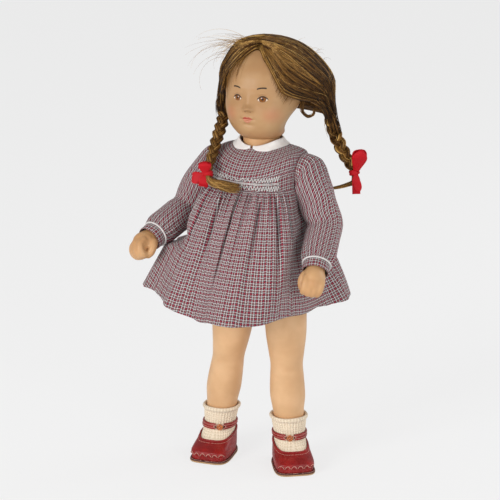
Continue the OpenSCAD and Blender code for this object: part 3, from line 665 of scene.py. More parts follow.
waist_z, hem_z, hem_lift, hem_half_w, hem_half_d = 272, 160, 5, 98.5, 84
yoke_rows = [  # step, half width, front, back, height at the side, in front and behind
    [0, 18.8, -13.8, 23.8, 309, 306, 308.5], [1, 27, -21, 31, 306.8, 301.5, 303], [2, 35, -28, 34, 305, 296, 298],
    [3, 40.4, -33.5, 35.5, 302.3, 290, 291], [4, 42.7, -37.5, 36, 296, 285, 285], [5, 43.2, -40, 36, 284, 279, 278.5],
    [6, 43.2, -41, 36, waist_z, waist_z, waist_z]]
yoke_n = [[0, 2], [1, 2.1], [3, 3], [6, 3]]
smock_from, smock_to, pleats = 226, 320, 150
arm_hole_x, arm_hole_r = 30, 14.5


def yoke_point(t, s, d):
    """Yoke at angle t and step s from neck (0) to skirt seam (6), moved outwards by d."""
    t, s, d = np.broadcast_arrays(t, s, d)
    n = linear(s, yoke_n)
    a, f, b, beside, before, behind = columns(smooth, s, yoke_rows)
    x, y = egg(t, a + d, f - d, b + d, 4, n, n)
    z = mix(np.where(sind(t) < 0, before, behind), beside, cosd(t) ** 2)
    return np.stack([x, y, z + np.where(s < 4, d, 0)], -1)


def ringed(values):
    """Grid values with the first column repeated at the end."""
    return np.concatenate([values, values[:, :1]], 1)


def outline(turn):
    """Angle of the point that lies a share of turn in 360 of the way round the yoke's lower edge, from its back."""
    t = np.linspace(90, 450, 3601)
    far = measured(yoke_point(t, 6.0, 0.0))
    return np.interp(turn, 360 * far / far[-1], t)


t = outline(circle(400))
s = down_to(0, 6, 66)
smocked = ease((t - smock_from) / 6) * ease((smock_to - t) / 6) * ease((s - 4.0) / 0.8)
points = yoke_point(t, s, 0.45 * smocked * cosd(pleats * t))
round_by = measured(ringed(points), 1) * mm
uv = np.stack([round_by - round_by[:, t.size // 2, None], ringed(measured(points) * mm)], -1)
yoke = surface("yoke_cloth", points, uv)
centres = np.empty((len(yoke.data.polygons), 3), np.float32)
yoke.data.polygons.foreach_get("center", centres.ravel())
off_axis = np.hypot(*(centres - joint_at["left_arm_swing"])[:, 1:].T)
cut = (np.abs(centres[:, 0] - middle[0]) > arm_hole_x * mm) & (off_axis < arm_hole_r * mm)
hole = bmesh.new()
hole.from_mesh(yoke.data)
hole.faces.ensure_lookup_table()
bmesh.ops.delete(hole, geom=[hole.faces[i] for i in np.flatnonzero(cut)], context="FACES")
hole.to_mesh(yoke.data)
hole.free()
fitted(walled(yoke, 0.8), plaid, "plaid_cloth", "torso", "yoke")


# Skirt: a straight width of the same cloth drawn up into the yoke, so deep narrow folds open out towards the hem.
# The arms press it in at both sides.

right_aim = [[0, 181], [0.3, 183], [0.37, 188], [0.4, 193], [0.46, 200], [0.56, 204]]
right_reach = [[0, 41.2], [0.12, 39.8], [0.28, 44.9], [0.37, 49.5], [0.46, 56.2], [0.56, 67.2], [0.66, 110]]
fold_count, press_w, hem_length = 24, 37, 0.58
skirt_centre = np.array([-2.0, -5.0])


def apart(a, b):
    """Angle between a and b folded into -180 to 180."""
    return (a - b + 180) % 360 - 180


def skirt_point(turn, v, d):
    """Skirt a share turn in 360 of the way round from its back and v of the way down, moved outwards by d: the yoke's
    lower edge opened to the hem's ellipse, with narrow valleys between broad pleats, held in where the arms press."""
    turn, v = np.broadcast_arrays(turn, v)
    t = outline(turn)
    hem = np.stack([-6 + hem_half_w * cosd(t), -12 + hem_half_d * sind(t)], -1)
    out = mix(yoke_point(t, 6.0, 0.0)[..., :2], hem, (v ** 0.86)[..., None]) - skirt_centre
    bent = turn + 4 * sind(3 * turn + 40) + 2.5 * sind(7 * turn + 100) + 5 * v * sind(2 * turn + 70)
    valley = -bell(sind(fold_count * bent / 2) / (0.14 + 0.42 * v))
    strong = 0.6 + 0.4 * sind(5 * turn + 20) * sind(11 * turn + 65)
    fold = 9.5 * strong * ease(v / 0.13) * (1 - 0.8 * ease((v - 0.16) / 0.7)) * (valley + 0.28)
    bunch = turn + 1.4 * sind(13 * turn) + 0.8 * sind(29 * turn + 50)
    gather = 2.0 * ease(v * 30) * (1 - ease(v / 0.34)) * cosd(58 * bunch)
    wave = 2.4 * ease((v - 0.2) / 0.8) * (cosd(9 * turn + 50) + 0.7 * cosd(14 * turn + 10 + 40 * v))
    ripple = 0.6 * ease((v - 0.35) / 0.5) * cosd(31 * turn + 90 * v)
    free = np.linalg.norm(out, axis=-1) + fold + gather + wave + ripple
    left = mix(mix(45.3, 49.2, ease((v - 0.14) / 0.2)), 66, ease((v - 0.33) / 0.67))
    push = bell(apart(t, 11 - 46 * np.maximum(0, v - 0.3)) / press_w, 4)
    held = mix(free, np.minimum(free, left + 0.3 * fold), push)
    push = bell(apart(t, linear(v, right_aim) - 4) / press_w, 4)
    held = mix(held, np.minimum(held, linear(v, right_reach) + 0.3 * np.minimum(fold, 0)), push)
    bow = bell(apart(t, 226) / 30)
    lift = hem_lift * (ease(apart(t, 298) ** 2 / 6400) + 2.4 * bow) + 0.8 * cosd(9 * turn + 50)
    flat = skirt_centre + unit(out) * (held + d)[..., None]
    return np.concatenate([flat, mix(waist_z + 0.6, hem_z + lift, v)[..., None]], -1)


turn = circle(560)
points = skirt_point(turn, down_to(0, 1, 76) ** 1.2, 0.2)
uv = grid_of(np.linspace(0, hem_length, turn.size + 1), ringed(measured(points) * mm))
skirt = fitted(walled(surface("skirt_cloth", points, uv), 0.7), plaid, "plaid_cloth", "torso", "skirt")
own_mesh(skirt)


# Smocking: rows of white embroidery thread that hold the pleats under the yoke, zigzags with plain rows between.
# The threads lie on the pleats and are stitched through them.

smock_white = twisted("smocking_thread", {"Roughness": 0.75, "Sheen Weight": 0.2}, 1100,
                      ink(214, 206, 202), ink(250, 248, 246), 0.00015)
t = np.linspace(smock_from + 2, smock_to - 2, 900)
zig = np.abs((t / 3.8) % 1 - 0.5)
slope = 0.4 * (t - smock_to) / (smock_to - smock_from)
lanes = [4.46 + zig, 5.14 + 0 * t, 5.26 + 0 * t, 5.42 + zig]
rows = np.stack([yoke_point(t, lane + slope, 0.8 + 0.25 * cosd(pleats * t)) for lane in lanes])
fitted(strands("smocking_rows", rows, 0.33, 5), smock_white, "smocking_thread", "torso", "smocking_band")


# Collar: two flat white halves with rounded fronts, sewn into the neck and lying on the yoke.
# Plain lawn, stitched just inside the edge.

lawn, place = finish("white_lawn", {"Roughness": 0.8, "Sheen Weight": 0.25}, "UV")
place.paint(place.noise(60, 3).soft(0.25, 0.75).tint(ink(226, 220, 216), ink(246, 243, 240)),
            relief=(place.part(0) / 0.0004).folded(0.5) + (place.part(1) / 0.0004).folded(0.5),
            depth=0.00012, strength=0.6)
k = np.linspace(0, 1, 90)[None]
j = down_to(0, 1, 22)
full = np.sqrt(np.maximum(0.02, np.sin(np.pi * np.clip(k, 0.004, 0.996))))
outer = 0.10 + 0.78 * np.minimum(1, 1.3 * full)
rounded = -0.3 * bell((1 - j) / 0.10) - 0.25 * bell((j - 0.84) / 0.03)  # edge and stitch line
stand = 1.2 + 3.4 * bell((j - 0.12) / 0.32) * mix(0.3, 1, ease(2.4 * k)) + 0.5 * np.sin(np.pi * j)
for side, sign in (("left", 1), ("right", -1)):
    points = yoke_point(mix(273.5, 447, k), mix(0.06, outer, j), 0.0)
    points = (points + np.array([0, 0, 1.0]) * (stand + rounded)[..., None]) * [sign, 1, 1]
    collar = surface(side + "_collar_half", points, grid_of(k * 0.09, j * 0.012), around=False)
    fitted(walled(collar, 0.9), lawn, "white_cloth", "torso", side + "_collar")


# Sleeves: long, gathered a little at the shoulder and into a narrow cuff with a white piped edge.
# The sleeve head is a ring round the shoulder axis, so it turns with the arm against the yoke.

sleeve_path = np.array([
    [-12, 0, 0], [-6, 0, 0], [-0.5, 0.5, -2], [2, 2, -9], [8, 7, -19], [12.6, 13, -30], [16.8, 18.4, -41],
    [19.2, 15, -53], [21.2, 11.4, -65], [22.8, 8.6, -74], [23.9, 6.9, -80.6]])
sleeve_up = np.array([
    [0, 0, 1], [0, 0, 1], [0.35, 0, 0.94], [0.7, 0, 0.71], [0.93, 0, 0.37], [0.98, 0, 0.2], [1, 0, 0.1],
    [1, 0, 0.15], [1, 0, 0.18], [1, 0, 0.2], [0.98, 0, 0.2]])
sleeve_r = [16, 18.4, 18.6, 18.2, 17.4, 16.8, 16.4, 16.2, 16, 15, 12.4]
sleeve_w, cuff_w, cuff_r, cuff_at = 0.105, 0.076, 12.0, np.array([24.0, 6.7, -81.0])
head_rings, elbow = 4, 0.56  # rings round the shoulder axis, and the elbow's share of the length
line, s, k = route(sleeve_path, 104)
run = unit(np.gradient(sleeve_path, axis=0))
cross = unit(np.cross(sleeve_up, run))
cross[:head_rings] = [0, 1, 0]
up = unit(sleeve_up - (sleeve_up * run).sum(1, keepdims=True) * run)
up[:head_rings] = sleeve_up[:head_rings]
up, cross = (unit(np.stack(columns(smooth, s, np.c_[k, way]), 1))[:, None] for way in (up, cross))
t, s = circle(140), s[:, None]
gather = 0.7 * bell((s - 0.16) / 0.07) * cosd(19 * t) + 0.9 * ease((s - 0.78) / 0.2) * cosd(17 * t + 20)
crease = 1.5 * bell(apart(t, 235) / 55) * bell((s - elbow) / 0.13) * np.sin(
    2 * np.pi * (s - elbow) / 0.075 + 0.9 * sind(t))
drag = 0.8 * bell((s - 0.45) / 0.2) * sind(3 * t + 900 * s)
r = smooth(s, np.c_[k, sleeve_r]) + gather + crease + drag
sleeve_grid = line[:, None] + r[..., None] * (cosd(t)[..., None] * up - sind(t)[..., None] * cross)
# only the first rings reach in through the armhole; the rest stays outside the yoke
sleeve_grid[..., 0] = np.maximum(sleeve_grid[..., 0], np.where(s < 0.045, -12.0, -6.0))
uv = grid_of(np.linspace(0, sleeve_w, t.size + 1), ringed(measured(sleeve_grid) * mm))
ring_t = circle(120)
spoke = spokes(ring_t.size, *square_to(cuff_way, [0.0, 1.0, 0.0]))
band = np.array([[-0.5, -0.6], [0.0, 0.0], [0.12, 2.5], [0.12, 6.0], [0.0, 8.2], [-0.35, 8.6], [-0.8, 8.4]])
cuff_round = cuff_r + band[:, :1] + 0.18 * cosd(5 * ring_t + 20)
cuff_grid = cuff_at + cuff_round[..., None] * spoke + band[:, 1:, None] * cuff_way
cuff_uv = grid_of(np.linspace(0, cuff_w, ring_t.size + 1), band[:, 1:] * mm)
piping_line = cuff_at - 0.1 * cuff_way + (cuff_r + 0.75) * np.r_[spoke, spoke[:2]]
for side in ("left", "right"):
    body = side + "_arm"
    sleeve = surface(side + "_sleeve_cloth", on_arm(sleeve_grid, side), uv)
    fitted(walled(sleeve, 0.7), plaid, "plaid_cloth", body, side + "_sleeve")
    cuff = surface(side + "_cuff_band", on_arm(cuff_grid, side), cuff_uv)
    fitted(walled(cuff, 0.9), plaid, "plaid_cloth", body, side + "_cuff")
    piping = strands(side + "_piping_cord", on_arm(piping_line, side)[None], 0.8, 10)
    fitted(piping, smock_white, "white_cloth", body, side + "_piping")


# Head: a hollow vinyl moulding that turns on the neck, with a small nose and mouth and full cheeks.
# Eyes, brows and lips are painted on, with a little red rubbed into the cheeks.

head_low, skull_top = 314, 399
head_rows = [  # height, half width, front, back
    [head_low, 17.6, -12.6, 22.6], [317, 20.6, -17, 25.5], [322, 23, -20.5, 25.2], [328, 26, -23, 25.5],
    [334, 29, -24.6, 29], [342, 33, -25.4, 39], [352, 35.6, -24.6, 52], [362, 36.8, -24.6, 59.5],
    [372, 36.5, -22.6, 60], [382, 33.8, -16.5, 54.5], [390, 27.8, -8, 46], [396, 18, 3, 34], [skull_top, 4, 14, 22]]
head_c = [[head_low, neck_y], [317, 4], [322, -2.5], [328, -5], [334, -2], [342, 5], [352, 13.5], [362, 17],
          [skull_top, 17]]
face_x, mouth_x, eye_x, eye_z, mouth_z = 2.1, 0.9, 12.3, 352.6, 334.2
# height, sideways place from the face's middle line, height above the floor, spread sideways and upwards
relief = [(4.4, 0, 344.4, 3.5, 2.7), (1.8, 0, 350.5, 3.8, 6.5), (1.1, 3.7, 343.2, 1.9, 1.8), (-1.7, eye_x, 353, 6, 4.4),
          (0.9, eye_x, 352.8, 3.9, 2.3), (0.5, eye_x, 357.6, 5.5, 1.1), (0.8, 10, 363, 8, 2.8),
          (1.6, 18, 339, 8.5, 8.5), (-0.6, 2.6, 341.0, 0.9, 0.7), (1.7, 0, 322.5, 7, 4.8)]
mouth_relief = [(1.1, 0, 335.7, 4.0, 1.2), (1.3, 0, 332.0, 3.4, 1.3), (-0.9, 0, 334.1, 5.0, 0.6),
                (-0.7, 6.2, 334.6, 1.3, 1.6), (-0.8, 0, 328.8, 5, 1.3), (-0.35, 0, 338.8, 1.0, 1.8)]


def head_point(t, z, d):
    """Head outline at angle t and height z, moved outwards by d."""
    t, z, d = np.broadcast_arrays(t, z, d)
    a, f, b = columns(smooth, z, head_rows)
    x, y = egg(t, a + d, f - d, b + d, smooth(z, head_c), 2.1, 2.1)
    return np.stack([x, y, z], -1)


def hills(x, z, rows, centre):
    """Sum of round hills, each one doubled to both sides of the middle line if it lies off it."""
    total = np.zeros_like(x)
    for high, off, at, wide, tall in rows:
        for way in ((1, -1) if off else (1,)):
            total += high * np.exp(-((x - centre - way * off) / wide) ** 2 - ((z - at) / tall) ** 2)
    return total


k = np.linspace(-1, 1, 260, endpoint=False)
t = (270 + 180 * (0.34 * k + 0.66 * k ** 3))[None]
z = np.r_[np.linspace(head_low, 319, 12), np.linspace(319.5, 366, 120), np.linspace(367, 396, 44),
          397.2, 398.2, 398.8, skull_top][:, None]
points = head_point(t, z, 0.0)
x, z = points[..., 0], points[..., 2]
points[..., 1] -= ease((-sind(t) - 0.25) / 0.5) * (
    hills(x, z, relief, face_x) + hills(x, z, mouth_relief, mouth_x))
neck_hole = head_point(t, np.array([[326.0], [321.0], [317.0]]), -3.0)
rim = head_point(t, np.array([[head_low]]), -0.4)
head = surface("head_skin", np.concatenate([closed(neck_hole)[:1], neck_hole, rim, points, closed(points)[-1:]]))

face, place = finish("painted_vinyl", vinyl_bits)
px = (place.part(0) - float(middle[0])) / mm - face_x
pz = place.part(2) / mm
ahead = place.part(1).soft(float(middle[1]) - 2 * mm, float(middle[1]) - 6 * mm)


def spot(x, z, wide, tall, inner, outer):
    """1 inside an ellipse, fading to 0 between the inner and outer share of its size."""
    far = (((px - x) / wide).squared() + ((pz - z) / tall).squared()).math("SQRT")
    return far.soft(outer, inner)


blush = spot(20, 338.5, 11, 11, 0.0, 1.0) + spot(-19, 338.5, 10, 11, 0.0, 1.0)
# two dark spots in the nostrils, painted shade in their hollows
nostril_shade = spot(2.6, 341.3, 1.1, 0.7, 0.3, 1.1) + spot(-2.6, 341.3, 1.1, 0.7, 0.3, 1.1)
# lips: the upper one a bow, the lower one fuller and paler
lx = px + (face_x - mouth_x)
bow = 1 - (lx / 5.2).squared()
dip = 1 - 0.28 * ((lx / 1.4).squared() * -1.0).math("EXPONENT")
above = pz - mouth_z
upper = (above - 2.7 * bow * dip).soft(0.35, -0.35) * above.soft(-0.25, 0.05) * bow.soft(0.0, 0.15)
pout = 1 - (lx / 4.5).squared()
lower = (above + 3.7 * pout).soft(-0.35, 0.45) * above.soft(0.1, -0.2) * bow.soft(0.1, 0.3)
# eyes: an almond of white, a brown iris under the upper lid, a dark lid line and a thin crease above
ex = abs(px) - eye_x
ez = pz - eye_z
eye_open = 1 - (ex / 4.7).squared()
lid = ez - 2.75 * eye_open
under_lid = ez + 2.2 * eye_open
almond = lid.soft(0.2, -0.2) * under_lid.soft(-0.2, 0.2) * eye_open.soft(0.0, 0.08) * ahead
ring = ((ex / 2.85).squared() + ((ez - 0.35) / 2.9).squared()).math("SQRT")
iris = ring.ramp([(0.0, ink(34, 16, 8)), (0.28, ink(44, 22, 10)), (0.42, ink(122, 72, 28)),
                  (0.82, ink(136, 84, 36)), (1.0, ink(58, 32, 16))])
white = ring.soft(1.0, 1.12).tint(iris, ink(228, 212, 192))
# a pale painted highlight on each eye, just above the iris towards the nose
painted_eye_highlight = ((ex + 0.9).squared() + (ez - 1.3).squared()).math("SQRT").soft(0.75, 0.4)
white = (0.45 * painted_eye_highlight).tint(white, ink(250, 246, 240))
lash = abs(lid).soft(0.95, 0.5) * (eye_open + 0.05).soft(0.0, 0.12) * ez.soft(-0.6, 0.1)
lower_lid = abs(under_lid).soft(0.45, 0.1) * eye_open.soft(0.05, 0.3)
crease = abs(ez - 3.3 * eye_open - 1.3).soft(0.4, 0.1) * (eye_open + 0.1).soft(0.1, 0.5)
along_brow = (abs(px) - 12.1) / 4.4
brow = abs(pz - 363.3 - 0.4 * along_brow + 0.8 * along_brow.squared()).soft(0.85, 0.45)
brow = brow * (1 - along_brow.squared()).soft(0.0, 0.35)
# paint in layers, from the cheeks up
# the face's vinyl is a deeper tan than the legs' vinyl: partly the head's own tone, partly painted shade
skin = place.noise(38, 3).soft(0.3, 0.75).tint(ink(170, 129, 87), ink(182, 145, 103))
for share, shape, colour in (
        # below the chin the skin is painted a darker brown, as painted shade under the chin
        (0.26, blush * ahead, ink(196, 90, 72)), (0.35, pz.soft(326, 316), ink(176, 116, 70)),
        (0.82, upper * ahead, ink(168, 48, 42)), (0.55, lower * ahead, ink(200, 114, 96)),
        # the nostrils are painted dark brown here, as painted shade in their hollows
        (0.75, nostril_shade * ahead, ink(104, 56, 30)), (1.0, almond, white), (0.92, lash * ahead, ink(44, 24, 16)),
        (0.45, lower_lid * ahead, ink(120, 72, 44)), (0.5, crease * ahead, ink(132, 84, 50)),
        (0.96, brow * ahead, ink(26, 13, 8))):
    skin = (share * shape).tint(skin, colour)
place.paint(skin, 0.42 + 0.10 * place.noise(150, 2) - 0.2 * almond - 0.14 * (upper + lower) * ahead,
            relief=place.noise(1400, 2), depth=0.00008, strength=0.5)
fitted(head, face, "vinyl", "head", "head_shell")


# Hair: long brown fibre parted over the crown and combed to the sides, where it is gathered into two braids.
# Thousands of fine strands lie on a cap painted dark as the shade beneath them; some lighter ones are bleached, and a
# few stand away.

hair_mid, hair_r, crown_flat = np.array([2.0, 25.0, 350.5]), 58, 0.94
hairline_front = [[0, 347], [0.3, 350], [0.5, 353.5], [0.68, 359.5], [0.8, 371.5], [0.885, 381], [0.95, 387.5],
                  [1, 395]]
hairline_back = [[0, 347], [0.4, 341], [0.8, 337], [1, 336]]
dice = np.random.default_rng(7)


def hairline(t):
    """Height of the edge of the hair at angle t."""
    return np.where(sind(t) < 0, linear(-sind(t), hairline_front), linear(sind(t), hairline_back))


def edge_tilt(t):
    """Angle from straight up to the hairline at angle t."""
    rise = hairline(t) - hair_mid[2]
    return np.arccos(rise / np.where(rise > 0, crown_flat * hair_r, hair_r))


def hair_point(t, v, lift):
    """Hair surface at angle t and share v of the way from crown to hairline: a low ball leaning forwards at the top,
    drawn in at the temples' height, to the head along the forehead and at the nape, and towards the braids below."""
    s = sind(t)
    tilt = v * edge_tilt(t)
    h = np.cos(tilt)
    back = np.maximum(0, s)
    waist = 1 - 0.12 * (1 - 0.7 * back) * bell((hair_r * h - 38) / 16)
    corner = 0.12 - 0.07 * cosd(t - 10) + 0.28 * back * np.maximum(0, -cosd(t))
    under = np.clip((v - 0.5) / 0.5, 0, 1.1) ** 2
    out = (hair_r * waist + lift) * np.sin(tilt) * (1 - corner * under)
    tuck = 1 - 0.42 * under * back ** 1.5
    lean = 3 * back * np.sin(2 * tilt) ** 2 - 18 * np.maximum(0, h) ** 2
    ball = np.stack([hair_mid[0] + out * cosd(t), hair_mid[1] + lean + tuck * out * s,
                     hair_mid[2] + (hair_r * np.where(h > 0, crown_flat, 1) + lift) * h], -1)
    brow = head_point(t, np.minimum(ball[..., 2], 398.6), 2.2 + lift)
    brow = brow + [0, 0, 1] * ((lift + 1.6) * ease((ball[..., 2] - 382) / 12))[..., None]
    thin = ease((-s - 0.1) / 0.6) * ease((v - 0.3) / 0.7)
    return mix(ball, brow, thin[..., None])


# the cap is painted dark brown with fibre lines, as painted shade of hair lying in shadow under the strands
scalp, place = finish("hair_cap", {"Roughness": 0.85, "Specular IOR Level": 0.1}, "UV")
fibre = place.stretched(6, 420, 1).noise(1.0, 4)
place.paint(fibre.soft(0.3, 0.75).tint(ink(38, 24, 12), ink(92, 62, 32)), relief=fibre, depth=0.0006)
hair, place = finish("combed_hair", {"Roughness": 0.45, "Specular IOR Level": 0.2})
tone = place.add("Attribute", {"attribute_name": "tone"}, out=2)
shade = place.noise(120, 2)
place.paint((tone + 0.3 * shade).ramp([(0.0, ink(30, 17, 7)), (0.3, ink(84, 54, 21)), (0.6, ink(146, 104, 48)),
                                       (1.0, ink(222, 180, 106))]), 0.36 + 0.2 * shade)


def combed(name, paths, thick, tones):
    """Strands of hair that ride on the head."""
    fitted(strands(name, paths, thick, 3, tones), hair, "hair", "head")


t = circle(200)
hem = head_point(t, hair_point(t, 1.0, 0)[..., 2] + 1.5, 0.3)
cap_grid = np.concatenate([hair_point(t, down_to(0, 1, 70), -1.6), hem])
uv = grid_of(np.linspace(0, 0.3, 201), down_to(0, 0.1, 71))
fitted(surface("hair_cap_base", cap_grid, uv), scalp, "hair", "head", "hair_cap")

braid_lines = {  # line, its radii, and the number of the point where it is tied
    "left": ([[53, 36, 334], [55, 37.5, 326], [58, 39, 315], [63, 40, 304], [69, 40.5, 294], [75, 41, 285],
              [77, 41, 280.5], [77.6, 41, 276], [76.5, 41, 271.5], [70, 39.5, 268], [61, 37.5, 265], [50, 35, 263]],
             [4.5, 5.3, 5.5, 5.4, 5.1, 4.2, 3.0, 2.8, 2.4, 1.9, 1.4, 0.6], 6),
    "right": ([[-45.4, 13.8, 345.6], [-43.5, 10, 339.6], [-40.6, 7, 331], [-37, -6, 320], [-34.6, -18, 310],
               [-31.5, -32, 299], [-29.5, -42.5, 289.5], [-28.5, -45.5, 285], [-27, -47, 281], [-23, -47.5, 278.5],
               [-14, -48, 277], [-4, -48.5, 276], [6, -48, 275.5]],
              [3.4, 4.4, 5.1, 5.2, 4.9, 4.4, 3.6, 3.0, 3.1, 3.8, 4.8, 5.4, 5.0], 7)}
k = np.linspace(0, 1, 15)[None]
nape_count = 420


def gathered(roots, count):
    """Ends of the hairs of one side, drawn together into the top of the braid."""
    along = np.clip((k - 0.75) / 0.25, 0, 1)[..., None]
    return mix(roots[0], roots[2], along) + dice.normal(0, 1.9, (count, 1, 3))


for side, meet in (("left", 12), ("right", -167)):
    roots = np.array(braid_lines[side][0][:3], float)
    for layer, count, locks, low in (("under", 1250, 800, -1.2), ("over", 2100, 240, -0.2)):
        # each lock of hair keeps one starting place on the parting, one lift, one wave and one tone
        lock = dice.integers(0, locks, count)
        front = dice.random(locks)[lock] < 0.42
        share = np.clip(dice.random(locks)[lock] + dice.normal(0, 0.02, count), 0, 1)
        from_top = np.radians(np.where(front, 42, 112) * share)[:, None]
        start = np.stack([0 * from_top, np.where(front[:, None], -1, 1) * np.sin(from_top), np.cos(from_top)], -1)
        end = unit(roots[0] - hair_mid + dice.normal(0, 3.0, (count, 3)))[:, None]
        arc = np.arccos(np.clip((start * end).sum(-1, keepdims=True), -1, 1))
        way = (np.sin((1 - k[..., None]) * arc) * start + np.sin(k[..., None] * arc) * end) / np.sin(arc)
        t = np.degrees(np.arctan2(way[..., 1], way[..., 0]))
        v = np.arccos(np.clip(way[..., 2], -1, 1)) / edge_tilt(t)
        # locks that start near the forehead follow its edge
        follow = (np.where(front, share, 0) ** 3)[:, None]
        t = np.where(front[:, None], mix(t, mix(-90, meet, k), follow), t)
        v = mix(v, mix(share[:, None], 1.0, k), follow)
        size, rate, begin = (dice.random(locks)[lock][:, None] for _ in range(3))
        swing_by = 2.0 * size * sind(360 * (k * (0.8 + rate) + begin))
        stray = (12 * dice.normal(0, 1, count) * dice.random(count) ** 3)[:, None]
        t = t + (swing_by + stray * (layer == "over")) * k * (1 - k) * 4
        lift = low + (1.2 * dice.random(locks)[lock] + 0.6 * dice.random(count))[:, None] + 0.5 * sind(
            360 * k + 360 * dice.random((count, 1))) * k
        paths = hair_point(t, np.clip(v, 0.0, 1.03), lift)
        paths = mix(paths, gathered(roots, count), ease((k - 0.68) / 0.2)[..., None])
        thick = 0.26 * np.minimum(1, np.minimum(k * 9 + 0.4, (1 - k) * 6 + 0.3))
        tones = np.clip(dice.normal(0.36, 0.13, locks)[lock] + dice.normal(0, 0.26, count), 0, 1)[:, None]
        # each strand is painted darker towards the braid, the front locks by the temples more so: painted shade, which
        # leaves the crown lighter as if lit
        combed(f"{side}_hair_{layer}", paths, thick, tones - (0.32 + 0.16 * front[:, None]) * k)
    # short hair of the nape, drawn straight from the skin to the braid
    t = mix(90.0, meet % 360, dice.random(nape_count))
    skin = head_point(t, hairline(t) + dice.uniform(0, 7, nape_count), 0.4)[:, None]
    paths = mix(skin, gathered(roots, nape_count), ease(k / 0.82)[..., None])
    paths = paths + [0, 0, 2.5] * np.sin(np.pi * k)[..., None]
    combed(side + "_hair_nape", paths, 0.3, dice.uniform(0.0, 0.35, (nape_count, 1)))


# Loose hair: wisps that fly off the crown and the doll's right side, a few strands on the forehead,
# and a curl that has slipped out in front of the left braid.

def either(first, one, other):
    """Random values from the range one where first holds, else from the range other."""
    return np.where(first, dice.uniform(*one, len(first)), dice.uniform(*other, len(first)))


across, towards = np.array([0.883, 0.469, 0.0]), np.array([0.469, -0.883, 0.0])
count, m = 110, 16
k = np.linspace(0, 1, m)[None]
away = dice.random(count) < 0.72
base = hair_point(either(away, (192, 240), (-60, 50)), dice.uniform(0.2, 0.62, count), 1.0)[:, None]
rise = either(away, (0, 35), (20, 60))[:, None] - dice.uniform(20, 120, (count, 1)) * k
reach = np.where(away, dice.uniform(8, 58, count) * dice.random(count) ** 0.5, dice.uniform(3, 12, count))
drift = across + dice.normal(0, 0.25, (count, 1, 1)) * towards
out = np.where(away, -1, 1)[:, None, None] * cosd(rise)[..., None] * drift
wisps = base + (reach / m)[:, None, None] * np.cumsum(out + sind(rise)[..., None] * [0, 0, 1], 1)
combed("flying_wisps", wisps, 0.14 * (1.05 - 0.8 * k), dice.uniform(0.25, 0.8, (count, 1)))

brow_side = dice.random(count) < 0.55
t = either(brow_side, (232, 262), (304, 342))
down = either(brow_side, (6, 27), (3.5, 9))[:, None]
k = np.linspace(0, 1, 12)[None]
z = hairline(t)[:, None] + 3 - down * k
fringe = head_point(t[:, None] - 7 * k * dice.uniform(0, 1, (count, 1)), np.minimum(z, 398), 2.0 - 1.2 * k)
combed("forehead_strands", fringe, 0.19 * (1.05 - 0.8 * k), dice.uniform(0.1, 0.5, (count, 1)))

count, m = 48, 30
ring = route([[42, 353], [38.8, 344.5], [39.6, 337], [44.4, 333], [49.2, 335], [50, 339.6]], m)[0]
curl = (ring[:, :1] - 43) * across + np.array([39.5, 17.5, 0]) + ring[:, 1:] * [0, 0, 1]
loose = 0.95 - 0.6 * down_to(0, 1, m)
curls = curl + np.cumsum(dice.normal(0, 0.06, (count, m, 3)), 1) + loose * dice.normal(0, 1, (count, 1, 3))
combed("ear_curl", curls, 0.2, dice.uniform(0.05, 0.45, (count, 1)))


# Braids: each side's hair in three plaited strands, tied near the end, the loose ends brushed out below the tie.
# They hang over the dress, from the head down to the body.

def hung(made, material, side, node):
    """Finish, slot and replaced node of a piece of a braid or its ribbon, its place baked into its mesh."""
    made.data.materials.append(material)
    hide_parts(f"{side}_{node}")
    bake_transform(made)


plait_step, lock_hairs = 27, 90
for side, (points, radii, tie) in braid_lines.items():
    line, s, k = route(points, 60)
    r = smooth(s, np.c_[k, radii])
    flat, deep = square_to(unit(np.gradient(line, axis=0)), [0.47, -0.85, 0.26])
    tied = ease((k[tie] - s) / 0.07) * ease(s / 0.06 + 0.3)
    hairs = []
    for lock in range(3):
        a = 2 * np.pi * (s * measured(line)[-1] / plait_step + lock / 3)
        core = line + (0.60 * r * tied * np.sin(a))[:, None] * flat + (0.36 * r * tied * np.sin(2 * a))[:, None] * deep
        out = np.sqrt(dice.random((lock_hairs, 1))) * mix(0.92, 0.58, tied) * r
        around = 2 * np.pi * dice.random((lock_hairs, 1)) + 0.3 * np.sin(a)[None]
        hairs.append(core + (out * np.cos(around))[..., None] * flat + (out * np.sin(around))[..., None] * deep)
    paths = np.concatenate(hairs)
    # below the tie each hair ends at its own length
    own = 1 - 0.55 * dice.random((len(paths), 1)) ** 2
    at = (np.minimum(s, k[tie]) + np.maximum(0, s - k[tie]) * own) * (len(s) - 1)
    low = np.minimum(at.astype(int), len(s) - 2)
    row = np.arange(len(paths))[:, None]
    paths = mix(paths[row, low], paths[row, low + 1], (at - low)[..., None])
    thick = 0.36 * np.minimum(1, (1 - s) * 8 + 0.15)
    shade = dice.normal(0.28, 0.22, (len(paths), 1)) + 0.16 * ease((s - k[tie] + 0.1) / 0.3)
    hung(strands(side + "_braid_hair", paths, thick, 3, shade), hair, side, "braid")


# Ribbons: a length of red satin ribbon tied in a bow round the end of each braid.
# Loops and ends stand out from a tight knot.

satin, place = finish("ribbon_satin", {"Roughness": 0.6, "Specular IOR Level": 0.25}, "UV")
edge = abs(place.part(0) - 0.005).soft(0.0042, 0.0048)
place.paint((0.5 * place.noise(90, 3) + 0.3 * edge).tint(ink(168, 4, 18), ink(206, 12, 32)),
            relief=(place.part(1) / 0.0006).folded(0.5), depth=0.0001, strength=0.6)


def band_of(line, across, width, camber):
    """Flat band along a line, square to it by the direction across, bowed by camber; with its uv in metres."""
    run = unit(np.gradient(line, axis=0))
    side = unit(across - (across * run).sum(1, keepdims=True) * run)
    up = np.cross(run, side)
    c = np.linspace(-1, 1, 11)[None, :, None]
    grid = line[:, None] + 0.5 * width[:, None, None] * c * side[:, None] + camber * (1 - c ** 2) * up[:, None]
    return grid, grid_of((c[..., 0] + 1) * 0.005, measured(line)[:, None] * mm)


